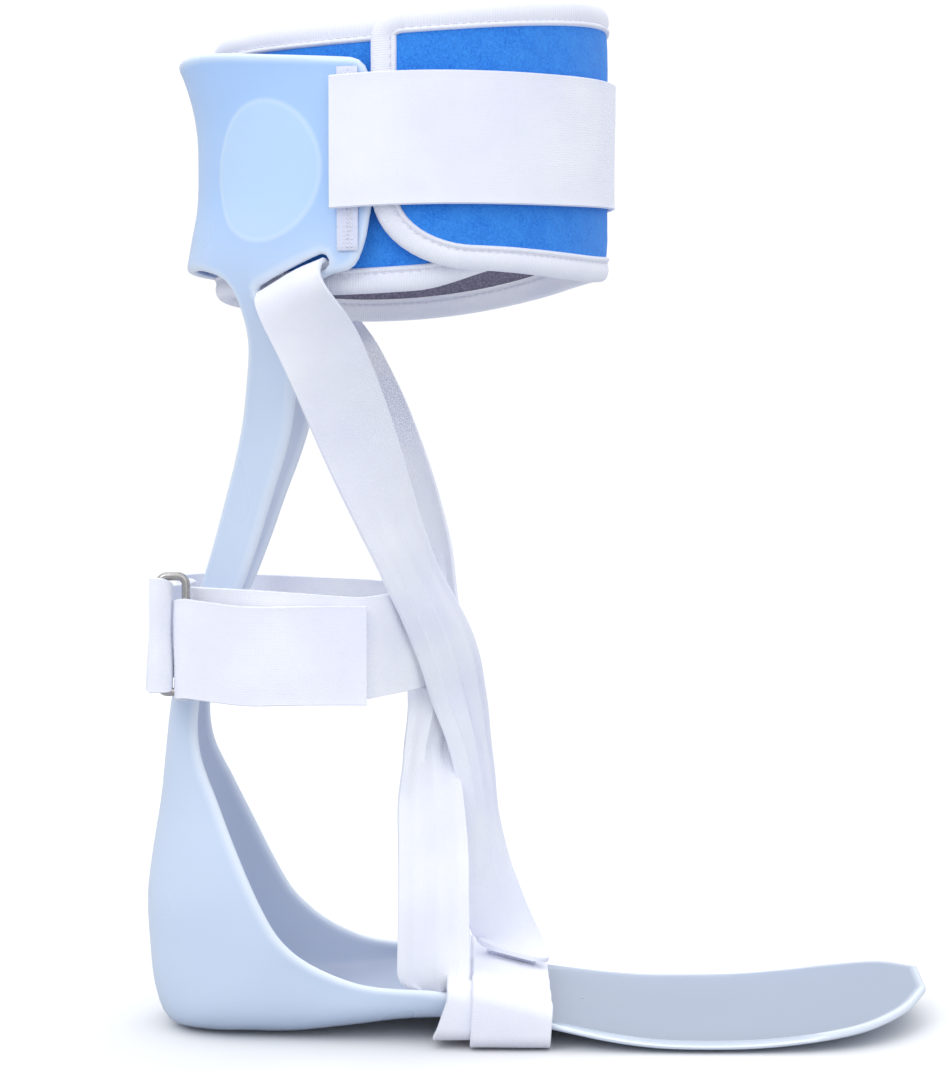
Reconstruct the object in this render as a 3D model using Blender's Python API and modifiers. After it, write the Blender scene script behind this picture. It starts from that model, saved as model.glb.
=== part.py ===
"""Posterior leaf ankle foot orthosis for a right foot, with two uprights.

A moulded shell (calf cup, two uprights, neck, heel cup and footplate), a padded calf cuff, and webbing
straps with hook-and-loop closures.

The drawing coordinates used below are millimetres: x is 0 where the two long straps cross in front of
the ankle and grows towards the toes, y grows towards the inner (medial) side of the foot, z is the
height above the floor. frame_point() turns them into the part's frame, in metres.
"""

import math

import bpy
from mathutils import Matrix, Vector
from mathutils.geometry import delaunay_2d_cdt

MM = 0.001
CENTRE_X = 21.0              # drawing x of the frame's origin, the middle of the object's length
CENTRE_Y = -0.7             # drawing y of the frame's origin, the middle of the object's width

SHELL_THICKNESS = 2.6
SHELL_STEP = 8.5             # spacing of the shell's mesh
SOLE_FLAT = 0.4              # what the sole is pressed flat by, under the heel and the ball
CALF_X = -22.0               # axis of the calf cuff
CUP_RADIUS = 67.0            # outside of the calf cup
PAD_INNER = 56.2             # inside of the calf pad
PAD_SCALE = math.radians(PAD_INNER)   # pattern millimetres for one degree round the calf
PAD_THICKNESS = 5.4
FLAP_LIFT = 6.2              # how far the flap climbs to lie over the pad's inner end
BINDING_WIDTH = 7.5
SEAM_GAP = 0.8
HINGE_ANGLE = 60.0           # where the pad's flap and the calf strap bend when they are opened
HINGE_RADIUS = 67.5
FLAP_END = -95.5             # angles round the calf: 0 is the front, 90 the inner side
PAD_END = -50.0
STRAP_THICKNESS = 1.8
CALF_STRAP_WIDTH = 39.0
CALF_STRAP_END = -109.0
HOOK_STRIP_ANGLES = (-101.0, -107.5)
HOOK_STRIP_Z = (246.0, 300.0)
TAPE_WIDTH = 25.0
TAPE_THICKNESS = 1.4
ANKLE_STRAP_WIDTH = 32.0
RING_REAR = (-98.0, -36.5)   # x, y of the ring's rear leg, held by the strap's sewn fold
RING_FRONT = (-89.8, -36.5)  # x, y of the ring's front leg, which the strap end turns round
RING_WIRE = 1.3              # radius
RING_HEIGHT = 37.4           # between the middles of its top and bottom wires
STRAP_TURN = 2.6             # radius of a strap's middle round a ring leg
RIVET_HOLE = 2.4
HOOK_THICKNESS = 0.8
ANGLE_STEP = 7.5
BACK_STRAP_GAP = 0.8         # between the neck and the strap behind it
ANKLE_Z = 127.0              # middle of the ankle strap at the ring
ANKLE_FRONT_Z = 124.0        # and in front of the ankle
LOOP_Z = 17.0                # top of the tape loops round the sole, at LOOP_X
LOOP_X = 3.5
LOOP_TILT = -0.25            # the footplate's edges fall towards the toe, and the loops with them

# Colour, roughness and metallic value
PLASTIC = ((0.72, 0.82, 0.92), 0.28, 0.0)
LOOP_CLOTH = ((0.05, 0.28, 0.78), 0.9, 0.0)
BINDING = ((0.86, 0.87, 0.93), 0.75, 0.0)
WEBBING = ((0.90, 0.90, 0.96), 0.8, 0.0)
HOOK = ((0.78, 0.80, 0.88), 0.9, 0.0)
RIVET_METAL = ((0.62, 0.62, 0.64), 0.3, 1.0)
RING_METAL = ((0.30, 0.29, 0.28), 0.3, 1.0)

# Shell stations, from the top of the calf cup down the back and along the sole to the toe:
# x and z on the centre line, x and z of the section's edge, half width, squareness, extra medial height
STATIONS = (
    (-95.4, 310.0, -22.0, 310.0, 67.0, 2.0, 0.0),
    (-91.6, 299.0, -22.0, 299.0, 67.0, 2.0, 0.0),
    (-89.4, 288.0, -22.0, 288.0, 67.0, 2.0, 0.0),
    (-89.0, 276.0, -22.0, 276.0, 67.0, 2.0, 0.0),
    (-89.4, 264.0, -22.0, 264.0, 67.0, 2.0, 0.0),
    (-91.4, 253.0, -22.0, 253.0, 67.0, 2.0, 0.0),
    (-92.6, 244.0, -22.0, 244.0, 67.0, 2.0, 0.0),
    (-90.8, 235.0, -22.3, 235.0, 66.4, 2.0, 0.0),
    (-87.6, 224.0, -23.2, 224.0, 62.5, 2.0, 0.0),
    (-85.0, 210.0, -25.5, 210.0, 55.0, 2.0, 0.0),
    (-84.2, 192.0, -30.0, 192.0, 44.5, 2.0, 0.0),
    (-86.3, 170.0, -44.5, 170.0, 33.5, 2.0, 0.0),
    (-90.0, 148.0, -62.0, 148.0, 24.5, 2.0, 0.0),
    (-93.6, 132.0, -76.0, 132.0, 20.5, 2.0, 0.0),
    (-96.5, 118.0, -85.0, 118.0, 18.4, 2.0, 0.0),
    (-99.2, 105.0, -88.4, 105.0, 18.0, 2.0, 0.0),
    (-100.9, 90.0, -87.6, 91.0, 21.0, 2.0, 0.0),
    (-102.6, 74.0, -81.5, 75.5, 25.5, 2.0, 1.0),
    (-105.2, 58.0, -75.5, 61.0, 29.5, 2.1, 2.0),
    (-107.0, 43.0, -69.0, 46.5, 32.0, 2.2, 2.5),
    (-106.4, 28.0, -63.0, 35.5, 33.0, 2.3, 2.5),
    (-104.6, 13.0, -57.0, 29.0, 33.2, 2.5, 2.5),
    (-100.0, 3.0, -52.0, 25.6, 33.0, 2.8, 2.0),
    (-90.0, 0.2, -46.5, 22.8, 33.0, 3.0, 1.5),
    (-75.0, 0.2, -39.5, 20.2, 33.2, 3.2, 1.0),
    (-60.0, 0.4, -32.5, 18.8, 33.8, 3.2, 0.5),
    (-42.0, 2.6, -24.0, 18.2, 34.6, 3.2, 0.0),
    (-22.0, 5.4, -12.0, 17.7, 35.6, 3.2, 0.0),
    (0.0, 6.4, 3.0, 14.4, 37.2, 3.2, 0.0),
    (20.0, 5.4, 21.0, 9.4, 39.6, 3.2, 0.0),
    (40.0, 2.4, 40.0, 5.4, 43.0, 3.0, 0.0),
    (56.0, 0.5, 56.0, 3.4, 44.6, 2.8, 0.0),
    (72.0, 0.2, 72.0, 3.0, 45.2, 2.8, 0.0),
    (88.0, 0.4, 88.0, 3.4, 45.0, 2.8, 0.0),
    (104.0, 1.8, 104.0, 4.8, 44.0, 2.8, 0.0),
    (120.0, 4.2, 120.0, 7.0, 42.5, 2.8, 0.0),
    (134.0, 7.2, 134.0, 9.8, 41.0, 2.8, 0.0),
    (150.0, 11.4, 150.0, 13.6, 39.0, 2.8, 0.0),
)
NECK_EDGE_Z = 113.0          # the section's whole width is material from here down to the toe
TOE_X = 104.0                # the toe's outline starts here

# The shell's edge on each side of the calf cup and the upright: share of the half width, z, rounding
CUP_EDGE = (
    (0.00, 310.0, 0.0), (0.35, 308.6, 12.0), (0.65, 305.0, 12.0), (0.90, 303.0, 5.0),
    (0.90, 241.5, 12.0), (0.78, 239.5, 6.0), (0.70, 229.0, 9.0), (0.66, 210.0, 9.0),
    (0.63, 192.0, 9.0), (0.64, 170.0, 9.0), (0.74, 148.0, 8.0), (0.90, 128.0, 8.0), (1.00, 113.0, 4.0),
)
# The opening between the uprights: half of its edge, from the cup down to the crotch
BACK_OPENING = (
    (0.00, 243.5, 0.0), (0.30, 243.0, 9.0), (0.46, 238.0, 9.0), (0.475, 222.0, 6.0), (0.41, 205.0, 8.0),
    (0.36, 192.0, 8.0), (0.31, 170.0, 9.0), (0.28, 148.0, 8.0), (0.22, 132.0, 7.0), (0.00, 131.0, 0.0),
)
# The toe's outline past TOE_X: share of the half width, x, rounding, on the outer and the inner side
TOE_OUTER = ((1.00, 104.0, 0.0), (0.92, 122.0, 9.0), (0.62, 138.0, 9.0), (0.18, 147.0, 9.0))
TOE_INNER = ((1.00, 104.0, 0.0), (0.99, 122.0, 9.0), (0.86, 140.0, 9.0), (0.45, 149.0, 9.0))

SLOT_SHARE = 0.672           # the strap slots, on both sides: place, length, width and slant
SLOT_Z = 239.0
SLOT_LENGTH = 29.5
SLOT_WIDTH = 4.6
SLOT_SLANT = math.radians(21.4)
CALF_RIVET_ANGLE = 104.5
CALF_RIVET_Z = (268.0, 289.0)
NECK_RIVET_Z = 119.0
DISC_ANGLE = 129.0           # middle of the round pad fasteners, either side of the front
DISC_Z = 271.0
DISC_RADIUS = 21.5


def frame_point(x, y, z):
    return Vector(((x - CENTRE_X) * MM, (y - CENTRE_Y) * MM, z * MM))


def clear_scene():
    for item in list(bpy.data.objects):
        bpy.data.objects.remove(item)


def make_material(name, colour, roughness, metallic=0.0):
    material = bpy.data.materials.new(name)
    material.use_nodes = True
    shader = material.node_tree.nodes["Principled BSDF"]
    shader.inputs["Base Color"].default_value = (*colour, 1.0)
    shader.inputs["Roughness"].default_value = roughness
    shader.inputs["Metallic"].default_value = metallic
    material.diffuse_color = (*colour, 1.0)
    return material


def add_sheet(name, vertices, faces, thickness, offset, finish):
    """An open surface in drawing millimetres, made solid. offset -1 keeps the surface as its outside."""
    mesh = bpy.data.meshes.new(name)
    mesh.from_pydata([frame_point(*v) for v in vertices], [], faces)
    mesh.update()
    item = bpy.data.objects.new(name, mesh)
    PART.objects.link(item)
    mesh.materials.append(make_material(name, *finish))
    solid = item.modifiers.new("thickness", "SOLIDIFY")
    solid.thickness = thickness * MM
    solid.offset = offset
    mesh.shade_smooth()
    return item


# --- flat patterns ---------------------------------------------------------------------------------

def mix(a, b, share):
    return tuple(p + (q - p) * share for p, q in zip(a, b))


def smooth_step(value):
    value = min(1.0, max(0.0, value))
    return value * value * (3.0 - 2.0 * value)


def distance(a, b):
    return math.dist(a, b)


def catmull(a, b, c, d, share):
    """A smooth curve through b and c."""
    return tuple(
        0.5 * (2 * q + (r - p) * share + (2 * p - 5 * q + 4 * r - s) * share ** 2
               + (3 * q - p - 3 * r + s) * share ** 3)
        for p, q, r, s in zip(a, b, c, d)
    )


def smooth_path(points, step):
    """Points about step apart on a smooth curve through the given ones."""
    path = []
    for i in range(len(points) - 1):
        a = points[max(i - 1, 0)]
        b, c = points[i], points[i + 1]
        d = points[min(i + 2, len(points) - 1)]
        count = max(1, round(distance(b[:3], c[:3]) / step))
        path += [catmull(a, b, c, d, k / count) for k in range(count)]
    return path + [points[-1]]


def rounded(corners):
    """A polyline through (a, b) corners with the given rounding at each: how far the curve cuts back."""
    line = []
    for i, (a, b, cut) in enumerate(corners):
        if cut <= 0 or i in (0, len(corners) - 1):
            line.append((a, b))
            continue
        before, after = corners[i - 1][:2], corners[i + 1][:2]
        here = (a, b)
        cut_in = min(cut, 0.5 * distance(here, before))
        cut_out = min(cut, 0.5 * distance(here, after))
        start = mix(here, before, cut_in / distance(here, before))
        end = mix(here, after, cut_out / distance(here, after))
        line += [mix(mix(start, here, t), mix(here, end, t), t) for t in (0.0, 0.33, 0.67, 1.0)]
    return line


def resample(line, step):
    """The same polyline with no stretch longer than step, and with points that nearly meet dropped."""
    points = [line[0]]
    for a, b in zip(line, line[1:]):
        length = distance(a, b)
        count = max(1, math.ceil(length / step))
        points += [mix(a, b, k / count) for k in range(1, count + 1)]
    kept = [points[0]]
    for p in points[1:]:
        if distance(p, kept[-1]) > 0.3:
            kept.append(p)
    return kept


def inside(point, loop):
    x, y = point
    odd = False
    for (ax, ay), (bx, by) in zip(loop, loop[1:] + loop[:1]):
        if (ay > y) != (by > y) and x < (bx - ax) * (y - ay) / (by - ay) + ax:
            odd = not odd
    return odd


def to_segment(point, a, b):
    dx, dy = b[0] - a[0], b[1] - a[1]
    share = ((point[0] - a[0]) * dx + (point[1] - a[1]) * dy) / max(dx * dx + dy * dy, 1e-12)
    share = min(1.0, max(0.0, share))
    return distance(point, (a[0] + dx * share, a[1] + dy * share))


def fill_pattern(outline, holes, step):
    """Triangles that fill the outline and leave the holes open, with inner points about step apart."""
    loops = [outline, *holes]
    points, edges = [], []
    for loop in loops:
        first = len(points)
        points += loop
        edges += [(first + i, first + (i + 1) % len(loop)) for i in range(len(loop))]
    low = [min(p[i] for p in outline) for i in (0, 1)]
    high = [max(p[i] for p in outline) for i in (0, 1)]
    rise = step * math.sqrt(3) / 2
    walls = [(points[a], points[b]) for a, b in edges]
    for row in range(1, int((high[1] - low[1]) / rise) + 1):
        y = low[1] + row * rise
        near = [w for w in walls if min(w[0][1], w[1][1]) < y + step and max(w[0][1], w[1][1]) > y - step]
        for column in range(int((high[0] - low[0]) / step) + 1):
            p = (low[0] + (column + 0.5 * (row % 2)) * step, y)
            if not inside(p, outline) or any(inside(p, h) for h in holes):
                continue
            if min((to_segment(p, a, b) for a, b in near), default=step) > 0.55 * step:
                points.append(p)
    flat, _, faces, *_ = delaunay_2d_cdt([Vector(p) for p in points], edges, [], 0, 1e-5)
    flat = [tuple(p) for p in flat]
    kept = []
    for face in faces:
        middle = tuple(sum(flat[i][k] for i in face) / len(face) for k in (0, 1))
        (ax, ay), (bx, by), (cx, cy) = (flat[i] for i in face)
        sliver = abs((bx - ax) * (cy - ay) - (by - ay) * (cx - ax)) < 1e-3 * step
        if not sliver and inside(middle, outline) and not any(inside(middle, h) for h in holes):
            kept.append(list(face))
    used = sorted({i for face in kept for i in face})
    number = {old: new for new, old in enumerate(used)}
    return [flat[i] for i in used], [[number[i] for i in face] for face in kept]


def circle(centre, radius, count):
    turn = 2 * math.pi / count
    return [(centre[0] + radius * math.cos(i * turn), centre[1] + radius * math.sin(i * turn))
            for i in range(count)]


def pattern_sheet(name, outline, holes, place, thickness, offset, finish, step):
    """A flat pattern cut out, bent to place(a, b) and made solid."""
    flat, faces = fill_pattern(outline, holes, step)
    return add_sheet(name, [place(*p) for p in flat], faces, thickness, offset, finish)


def grid_sheet(name, rows, thickness, offset, finish, closed=False):
    """Rows of points, joined by quads, made solid."""
    across = len(rows[0])
    vertices = [p for row in rows for p in row]
    faces = []
    for r in range(len(rows) if closed else len(rows) - 1):
        following = (r + 1) % len(rows)
        for c in range(across - 1):
            a, b = r * across + c, following * across + c
            faces.append((a, b, b + 1, a + 1))
    return add_sheet(name, vertices, faces, thickness, offset, finish)


# --- the moulded shell -----------------------------------------------------------------------------

def spine():
    """The shell's stations, interpolated every few millimetres: (distance from the top, station)."""
    fine = []
    for i in range(len(STATIONS) - 1):
        a = STATIONS[max(i - 1, 0)]
        b, c = STATIONS[i], STATIONS[i + 1]
        d = STATIONS[min(i + 2, len(STATIONS) - 1)]
        fine += [catmull(a, b, c, d, k / 6) for k in range(6)]
    fine.append(STATIONS[-1])
    travelled = [0.0]
    for a, b in zip(fine, fine[1:]):
        travelled.append(travelled[-1] + distance(a[:2], b[:2]))
    return list(zip(travelled, fine))


def station_at(v):
    for (v0, a), (v1, b) in zip(SPINE, SPINE[1:]):
        if v <= v1:
            return mix(a, b, (v - v0) / (v1 - v0))
    return SPINE[-1][1]


def down_to(z):
    """How far down the back the height z is."""
    for (v0, a), (v1, b) in zip(SPINE, SPINE[1:]):
        if a[1] >= z > b[1]:
            return v0 + (v1 - v0) * (a[1] - z) / (a[1] - b[1])
    return 0.0


def along_to(x):
    """How far along the sole the place x is."""
    for (v0, a), (v1, b) in reversed(list(zip(SPINE, SPINE[1:]))):
        if a[0] < x <= b[0]:
            return v0 + (v1 - v0) * (x - a[0]) / (b[0] - a[0])
    return SPINE[-1][0]


def section(station, medial):
    """Half a section as (length so far, depth share, width share), by equal steps of its angle."""
    x, z, edge_x, edge_z, half, square, medial_rise = station
    depth = math.hypot(edge_x - x, edge_z + medial * medial_rise - z)
    table = [(0.0, 0.0, 0.0)]
    for k in range(1, 41):
        angle = 0.5 * math.pi * smooth_step(k / 40)
        deep = 1.0 - abs(math.cos(angle)) ** (2.0 / square) if k < 40 else 1.0
        wide = math.sin(angle) ** (2.0 / square)
        length = table[-1][0] + math.hypot((deep - table[-1][1]) * depth, (wide - table[-1][2]) * half)
        table.append((length, deep, wide))
    return table


def half_girth(v):
    return section(station_at(v), False)[-1][0]


def shell_point(u, v):
    """The shell's outside, u across the section (outer side of the foot negative), v down the spine."""
    station = station_at(v)
    x, z, edge_x, edge_z, half, _, medial_rise = station
    medial = u > 0
    table = section(station, medial)
    target = min(abs(u) / half_girth(v), 1.0) * table[-1][0]
    for (s0, *a), (s1, *b) in zip(table, table[1:]):
        if target <= s1:
            break
    deep, wide = mix(a, b, (target - s0) / (s1 - s0))
    rise = edge_z + (medial_rise if medial else 0.0) - z
    height = z + deep * rise
    return (x + deep * (edge_x - x), math.copysign(wide * half, u), max(0.0, height - SOLE_FLAT))


def shell_frame(u, v):
    """A point on the shell's outside with its directions: across, down the spine, outward."""
    here = Vector(shell_point(u, v))
    across = (Vector(shell_point(u + 1.0, v)) - Vector(shell_point(u - 1.0, v))).normalized()
    down = (Vector(shell_point(u, v + 1.0)) - Vector(shell_point(u, v - 1.0))).normalized()
    outward = across.cross(down).normalized()
    return here, across, down, outward


def on_side(side, share, v):
    """(u, v) at that share of the half girth, on side -1 (outer) or 1 (inner)."""
    return (side * share * half_girth(v), v)


def side_edge(side, corners, place):
    """An edge given as shares of the half girth, as rounded (u, v) points."""
    return rounded([(*on_side(side, share, place(where)), cut) for share, where, cut in corners])


def foot_edge(side):
    """The edge of the neck, heel cup and footplate, where the whole section is material."""
    start, end = down_to(NECK_EDGE_Z), along_to(TOE_X)
    count = round((end - start) / SHELL_STEP)
    stops = [start + (end - start) * k / count for k in range(1, count)]
    return [on_side(side, 1.0, v) for v in stops]


def shell_outline():
    loop = []
    for side, toe in ((1, TOE_INNER), (-1, TOE_OUTER)):
        upper = side_edge(side, CUP_EDGE, down_to)
        lower = side_edge(side, toe, along_to)
        edge = upper + foot_edge(side) + lower
        loop += edge if side > 0 else edge[::-1]
    closed = resample(loop + loop[:1], SHELL_STEP)
    return closed[:-1]


def opening_outline():
    inner = side_edge(1, BACK_OPENING, down_to)
    outer = side_edge(-1, BACK_OPENING, down_to)
    return resample(inner + outer[::-1][1:], SHELL_STEP)[:-1]


def slot_direction(side):
    """The slot's direction in the shell's pattern, from its rear end to its front end."""
    return (side * math.cos(SLOT_SLANT), -math.sin(SLOT_SLANT))


def slot_outline(side):
    """A slot with round ends, slanting up towards the front."""
    cu, cv = on_side(side, SLOT_SHARE, down_to(SLOT_Z))
    along = slot_direction(side)
    reach, radius = 0.5 * (SLOT_LENGTH - SLOT_WIDTH), 0.5 * SLOT_WIDTH
    heading = math.atan2(along[1], along[0])
    loop = []
    for end in (1, -1):
        for k in range(5):
            angle = heading + (0 if end > 0 else math.pi) + math.radians(-90 + 45 * k)
            loop.append((cu + end * reach * along[0] + radius * math.cos(angle),
                         cv + end * reach * along[1] + radius * math.sin(angle)))
    return loop


def build_shell():
    calf_rivets = [
        circle(on_side(1, (180.0 - CALF_RIVET_ANGLE) / 90.0, down_to(z)), RIVET_HOLE, 8)
        for z in CALF_RIVET_Z
    ]
    neck_rivet = circle((0.0, down_to(NECK_RIVET_Z)), RIVET_HOLE, 8)
    holes = [opening_outline(), slot_outline(-1), slot_outline(1), *calf_rivets, neck_rivet]
    shell = pattern_sheet("shell", shell_outline(), holes, shell_point, SHELL_THICKNESS, -1, PLASTIC,
                          SHELL_STEP)
    face_outward(shell)


def face_outward(item):
    """Turns the surface over if its normals point to the inside of the cup."""
    mesh = item.data
    axis = frame_point(CALF_X, 0.0, 0.0).xy
    cup = [face for face in mesh.polygons if face.center.z > 0.25]
    if sum(face.normal.xy.dot(face.center.xy - axis) for face in cup) < 0:
        mesh.flip_normals()


# --- the calf pad, its flap and the calf strap -----------------------------------------------------

def polar(angle, radius, z):
    turn = math.radians(angle)
    return (CALF_X + radius * math.cos(turn), radius * math.sin(turn), z)


def pad_middle(angle):
    """Height of the pad's middle line: the cuff tilts up to the front and dips at both sides."""
    turn = math.radians(angle)
    return 276.5 + 4.75 * math.cos(turn) - 1.6 * math.sin(turn) + 2.75 * math.cos(2 * turn)


def pad_half(angle):
    return 41.0 + 0.75 * math.cos(math.radians(angle))


def pad_low(angle):
    """The lower edge; the flap's rises a little where it lies over the pad's inner end."""
    lift = 6.0 * smooth_step(-angle / 90.0) if -180.0 < angle < 0.0 else 0.0
    return pad_middle(angle) - pad_half(angle) + lift


def pad_high(angle):
    return pad_middle(angle) + pad_half(angle)


def pad_radius(angle):
    """The pad's middle radius: constant round the calf, then climbing where the flap overlaps."""
    lift = FLAP_LIFT * smooth_step((30.0 - angle) / 75.0)
    return PAD_INNER + 0.5 * PAD_THICKNESS + lift


def pad_edge(start, end, inset, lower_corner, upper_corner):
    """The pad's edge as pattern points: along the top, round the end and back along the bottom."""
    way = 1.0 if end > start else -1.0
    last = end - way * inset / PAD_SCALE
    count = max(2, round(abs(last - start) / ANGLE_STEP))
    angles = [start + (last - start) * k / count for k in range(count + 1)]
    top = [(a * PAD_SCALE, pad_high(a) - inset, 0.0) for a in angles]
    bottom = [(a * PAD_SCALE, pad_low(a) + inset, 0.0) for a in angles]
    reach = max(lower_corner, upper_corner) - inset
    top = [p for p in top[:-1] if abs(p[0] - top[-1][0]) > reach] + [top[-1]]
    bottom = [p for p in bottom[:-1] if abs(p[0] - bottom[-1][0]) > reach] + [bottom[-1]]
    top[-1] = (*top[-1][:2], max(upper_corner - inset, 1.0))
    bottom[-1] = (*bottom[-1][:2], max(lower_corner - inset, 1.0))
    return rounded(top + bottom[::-1])


def pad_place(radius):
    return lambda a, z: polar(a / PAD_SCALE, radius(a / PAD_SCALE), z)


def build_pad(foam_name, binding_name, start, end, lower_corner, upper_corner):
    """A foam panel and the binding tape round its edge, both closed solids that meet at a fine gap."""
    radius = pad_radius if end < start else (lambda angle: PAD_INNER + 0.5 * PAD_THICKNESS)
    edge = pad_edge(start, end, 0.0, lower_corner, upper_corner)
    seam = pad_edge(start, end, BINDING_WIDTH, lower_corner, upper_corner)
    foam = pad_edge(start, end, BINDING_WIDTH + SEAM_GAP, lower_corner, upper_corner)
    step = PAD_SCALE * ANGLE_STEP
    panel = resample(foam + foam[:1], 1.3 * step)[:-1]
    tape = resample(edge + seam[::-1] + edge[:1], 1.3 * step)[:-1]
    place = pad_place(radius)
    pattern_sheet(foam_name, panel, [], place, PAD_THICKNESS, 0, LOOP_CLOTH, 1.4 * step)
    pattern_sheet(binding_name, tape, [], place, PAD_THICKNESS, 0, BINDING, 2.0 * step)


def calf_strap_middle(angle):
    return 279.4 + 4.6 * math.cos(math.radians(angle))


def calf_strap_radius(angle):
    """The strap's middle radius: over the wing, down onto the pad, and up over the flap."""
    over_wing = smooth_step((angle - 62.0) / 30.0)
    over_pad = pad_radius(min(angle, 60.0)) + 0.5 * PAD_THICKNESS + 0.5
    over_hook = 0.9 * smooth_step((-angle - 10.0) / 35.0)
    inner = max(over_pad, over_pad + over_hook) * (1.0 - over_wing) + (CUP_RADIUS + 0.7) * over_wing
    return inner + 0.5 * STRAP_THICKNESS


def angles_between(start, end):
    count = max(1, round(abs(end - start) / ANGLE_STEP))
    return [start + (end - start) * k / count for k in range(count + 1)]


def calf_band(name, start, end, radius, low, high, thickness, finish):
    """A band round the calf between two angles and two heights, two quads high."""
    rows = []
    for angle in angles_between(start, end):
        bottom, top = low(angle), high(angle)
        rows.append([polar(angle, radius(angle), bottom + (top - bottom) * k / 2) for k in range(3)])
    return grid_sheet(name, rows, thickness, 0, finish)


def build_calf_strap():
    half = 0.5 * CALF_STRAP_WIDTH
    low = lambda angle: calf_strap_middle(angle) - half
    high = lambda angle: calf_strap_middle(angle) + half
    start = HINGE_ANGLE - 0.3
    calf_band("calf_strap", start, CALF_STRAP_END, calf_strap_radius, low, high, STRAP_THICKNESS, WEBBING)
    hook_radius = lambda angle: calf_strap_radius(angle) - 0.5 * (STRAP_THICKNESS + HOOK_THICKNESS) - 0.3
    calf_band("calf_strap_hook", -58.0, -92.0, hook_radius, lambda a: low(a) + 2.0,
              lambda a: high(a) - 2.0, HOOK_THICKNESS, HOOK)
    calf_band("calf_hook_strip", *HOOK_STRIP_ANGLES, lambda angle: CUP_RADIUS + 0.4 + 0.5 * HOOK_THICKNESS,
              lambda angle: HOOK_STRIP_Z[0], lambda angle: HOOK_STRIP_Z[1], HOOK_THICKNESS, HOOK)


def build_strap_anchor():
    """The strap's fixed length, riveted to the inner wing of the cup."""
    half = 0.5 * CALF_STRAP_WIDTH
    start, end = HINGE_ANGLE + 0.3, 113.0
    scale = CUP_RADIUS * math.pi / 180.0
    low = [(a * scale, calf_strap_middle(a) - half) for a in angles_between(start, end)]
    high = [(a * scale, calf_strap_middle(a) + half) for a in angles_between(start, end)]
    outline = resample(low + high[::-1] + low[:1], scale * ANGLE_STEP + 1.0)[:-1]
    holes = [circle((CALF_RIVET_ANGLE * scale, z - SOLE_FLAT), RIVET_HOLE, 8) for z in CALF_RIVET_Z]
    place = lambda a, z: polar(a / scale, calf_strap_radius(a / scale), z)
    pattern_sheet("calf_strap_anchor", outline, holes, place, STRAP_THICKNESS, 0, WEBBING, 12.0)


def build_pad_disc(name, side):
    """A thin round hook disc between the pad and the cup's wing."""
    radius = CUP_RADIUS - SHELL_THICKNESS - 1.5
    scale = radius * math.pi / 180.0
    middle = (side * DISC_ANGLE * scale, DISC_Z)
    place = lambda a, z: polar(a / scale, radius, z)
    pattern_sheet(name, circle(middle, DISC_RADIUS, 24), [], place, HOOK_THICKNESS, 0, HOOK, 9.0)


# --- rivets ----------------------------------------------------------------------------------------

def build_rivet(name, point, outward, inner_end, outer_end, head_radius, head_height):
    """A tubular rivet along outward, from its flat inner head to its rounded outer head."""
    shank = RIVET_HOLE - 0.7
    profile = [
        (0.0, outer_end + head_height), (0.6 * head_radius, outer_end + 0.9 * head_height),
        (head_radius, outer_end + 0.3 * head_height), (head_radius, outer_end),
        (shank, outer_end), (shank, inner_end), (head_radius, inner_end),
        (head_radius, inner_end - 0.8), (0.0, inner_end - 0.8),
    ]
    mesh = bpy.data.meshes.new(name)
    mesh.from_pydata([(r * MM, 0.0, h * MM) for r, h in profile],
                     [(i, i + 1) for i in range(len(profile) - 1)], [])
    item = bpy.data.objects.new(name, mesh)
    PART.objects.link(item)
    mesh.materials.append(make_material(name, *RIVET_METAL))
    turn = item.modifiers.new("turn", "SCREW")
    turn.axis = "Z"
    turn.steps = turn.render_steps = 12
    turn.use_merge_vertices = True
    turn.merge_threshold = 0.00001
    item.location = frame_point(*point)
    item.rotation_mode = "QUATERNION"
    item.rotation_quaternion = Vector((0.0, 0.0, 1.0)).rotation_difference(Vector(outward))


def build_rivets():
    turn = math.radians(CALF_RIVET_ANGLE)
    outward = (math.cos(turn), math.sin(turn), 0.0)
    outer = calf_strap_radius(CALF_RIVET_ANGLE) + 0.5 * STRAP_THICKNESS + 0.35 - CUP_RADIUS
    for name, z in zip(("calf_strap_rivet_lower", "calf_strap_rivet_upper"), CALF_RIVET_Z):
        point = polar(CALF_RIVET_ANGLE, CUP_RADIUS, z - SOLE_FLAT)
        build_rivet(name, point, outward, -SHELL_THICKNESS - 0.6, outer, 4.5, 1.2)
    here, _, _, outward = shell_frame(0.0, down_to(NECK_RIVET_Z))
    outer = BACK_STRAP_GAP + STRAP_THICKNESS + 0.35
    build_rivet("ankle_strap_rivet", here, outward, -SHELL_THICKNESS - 1.1, outer, 4.5, 1.2)


# --- webbing ---------------------------------------------------------------------------------------

def tape_rows(stations, width, step, across=2):
    """Rows across a tape. A station is x, y, z, the direction across, and how its middle bows out."""
    full = [tuple(s) + (0.0, 0.0, 0.0) * (len(s) == 6) for s in stations]
    rows = []
    for s in smooth_path(full, step):
        side = Vector(s[3:6]).normalized()
        row = []
        for k in range(across + 1):
            share = 2.0 * k / across - 1.0
            row.append(Vector(s[:3]) + 0.5 * width * share * side - Vector(s[6:9]) * share ** 2)
        rows.append(row)
    return rows


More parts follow.
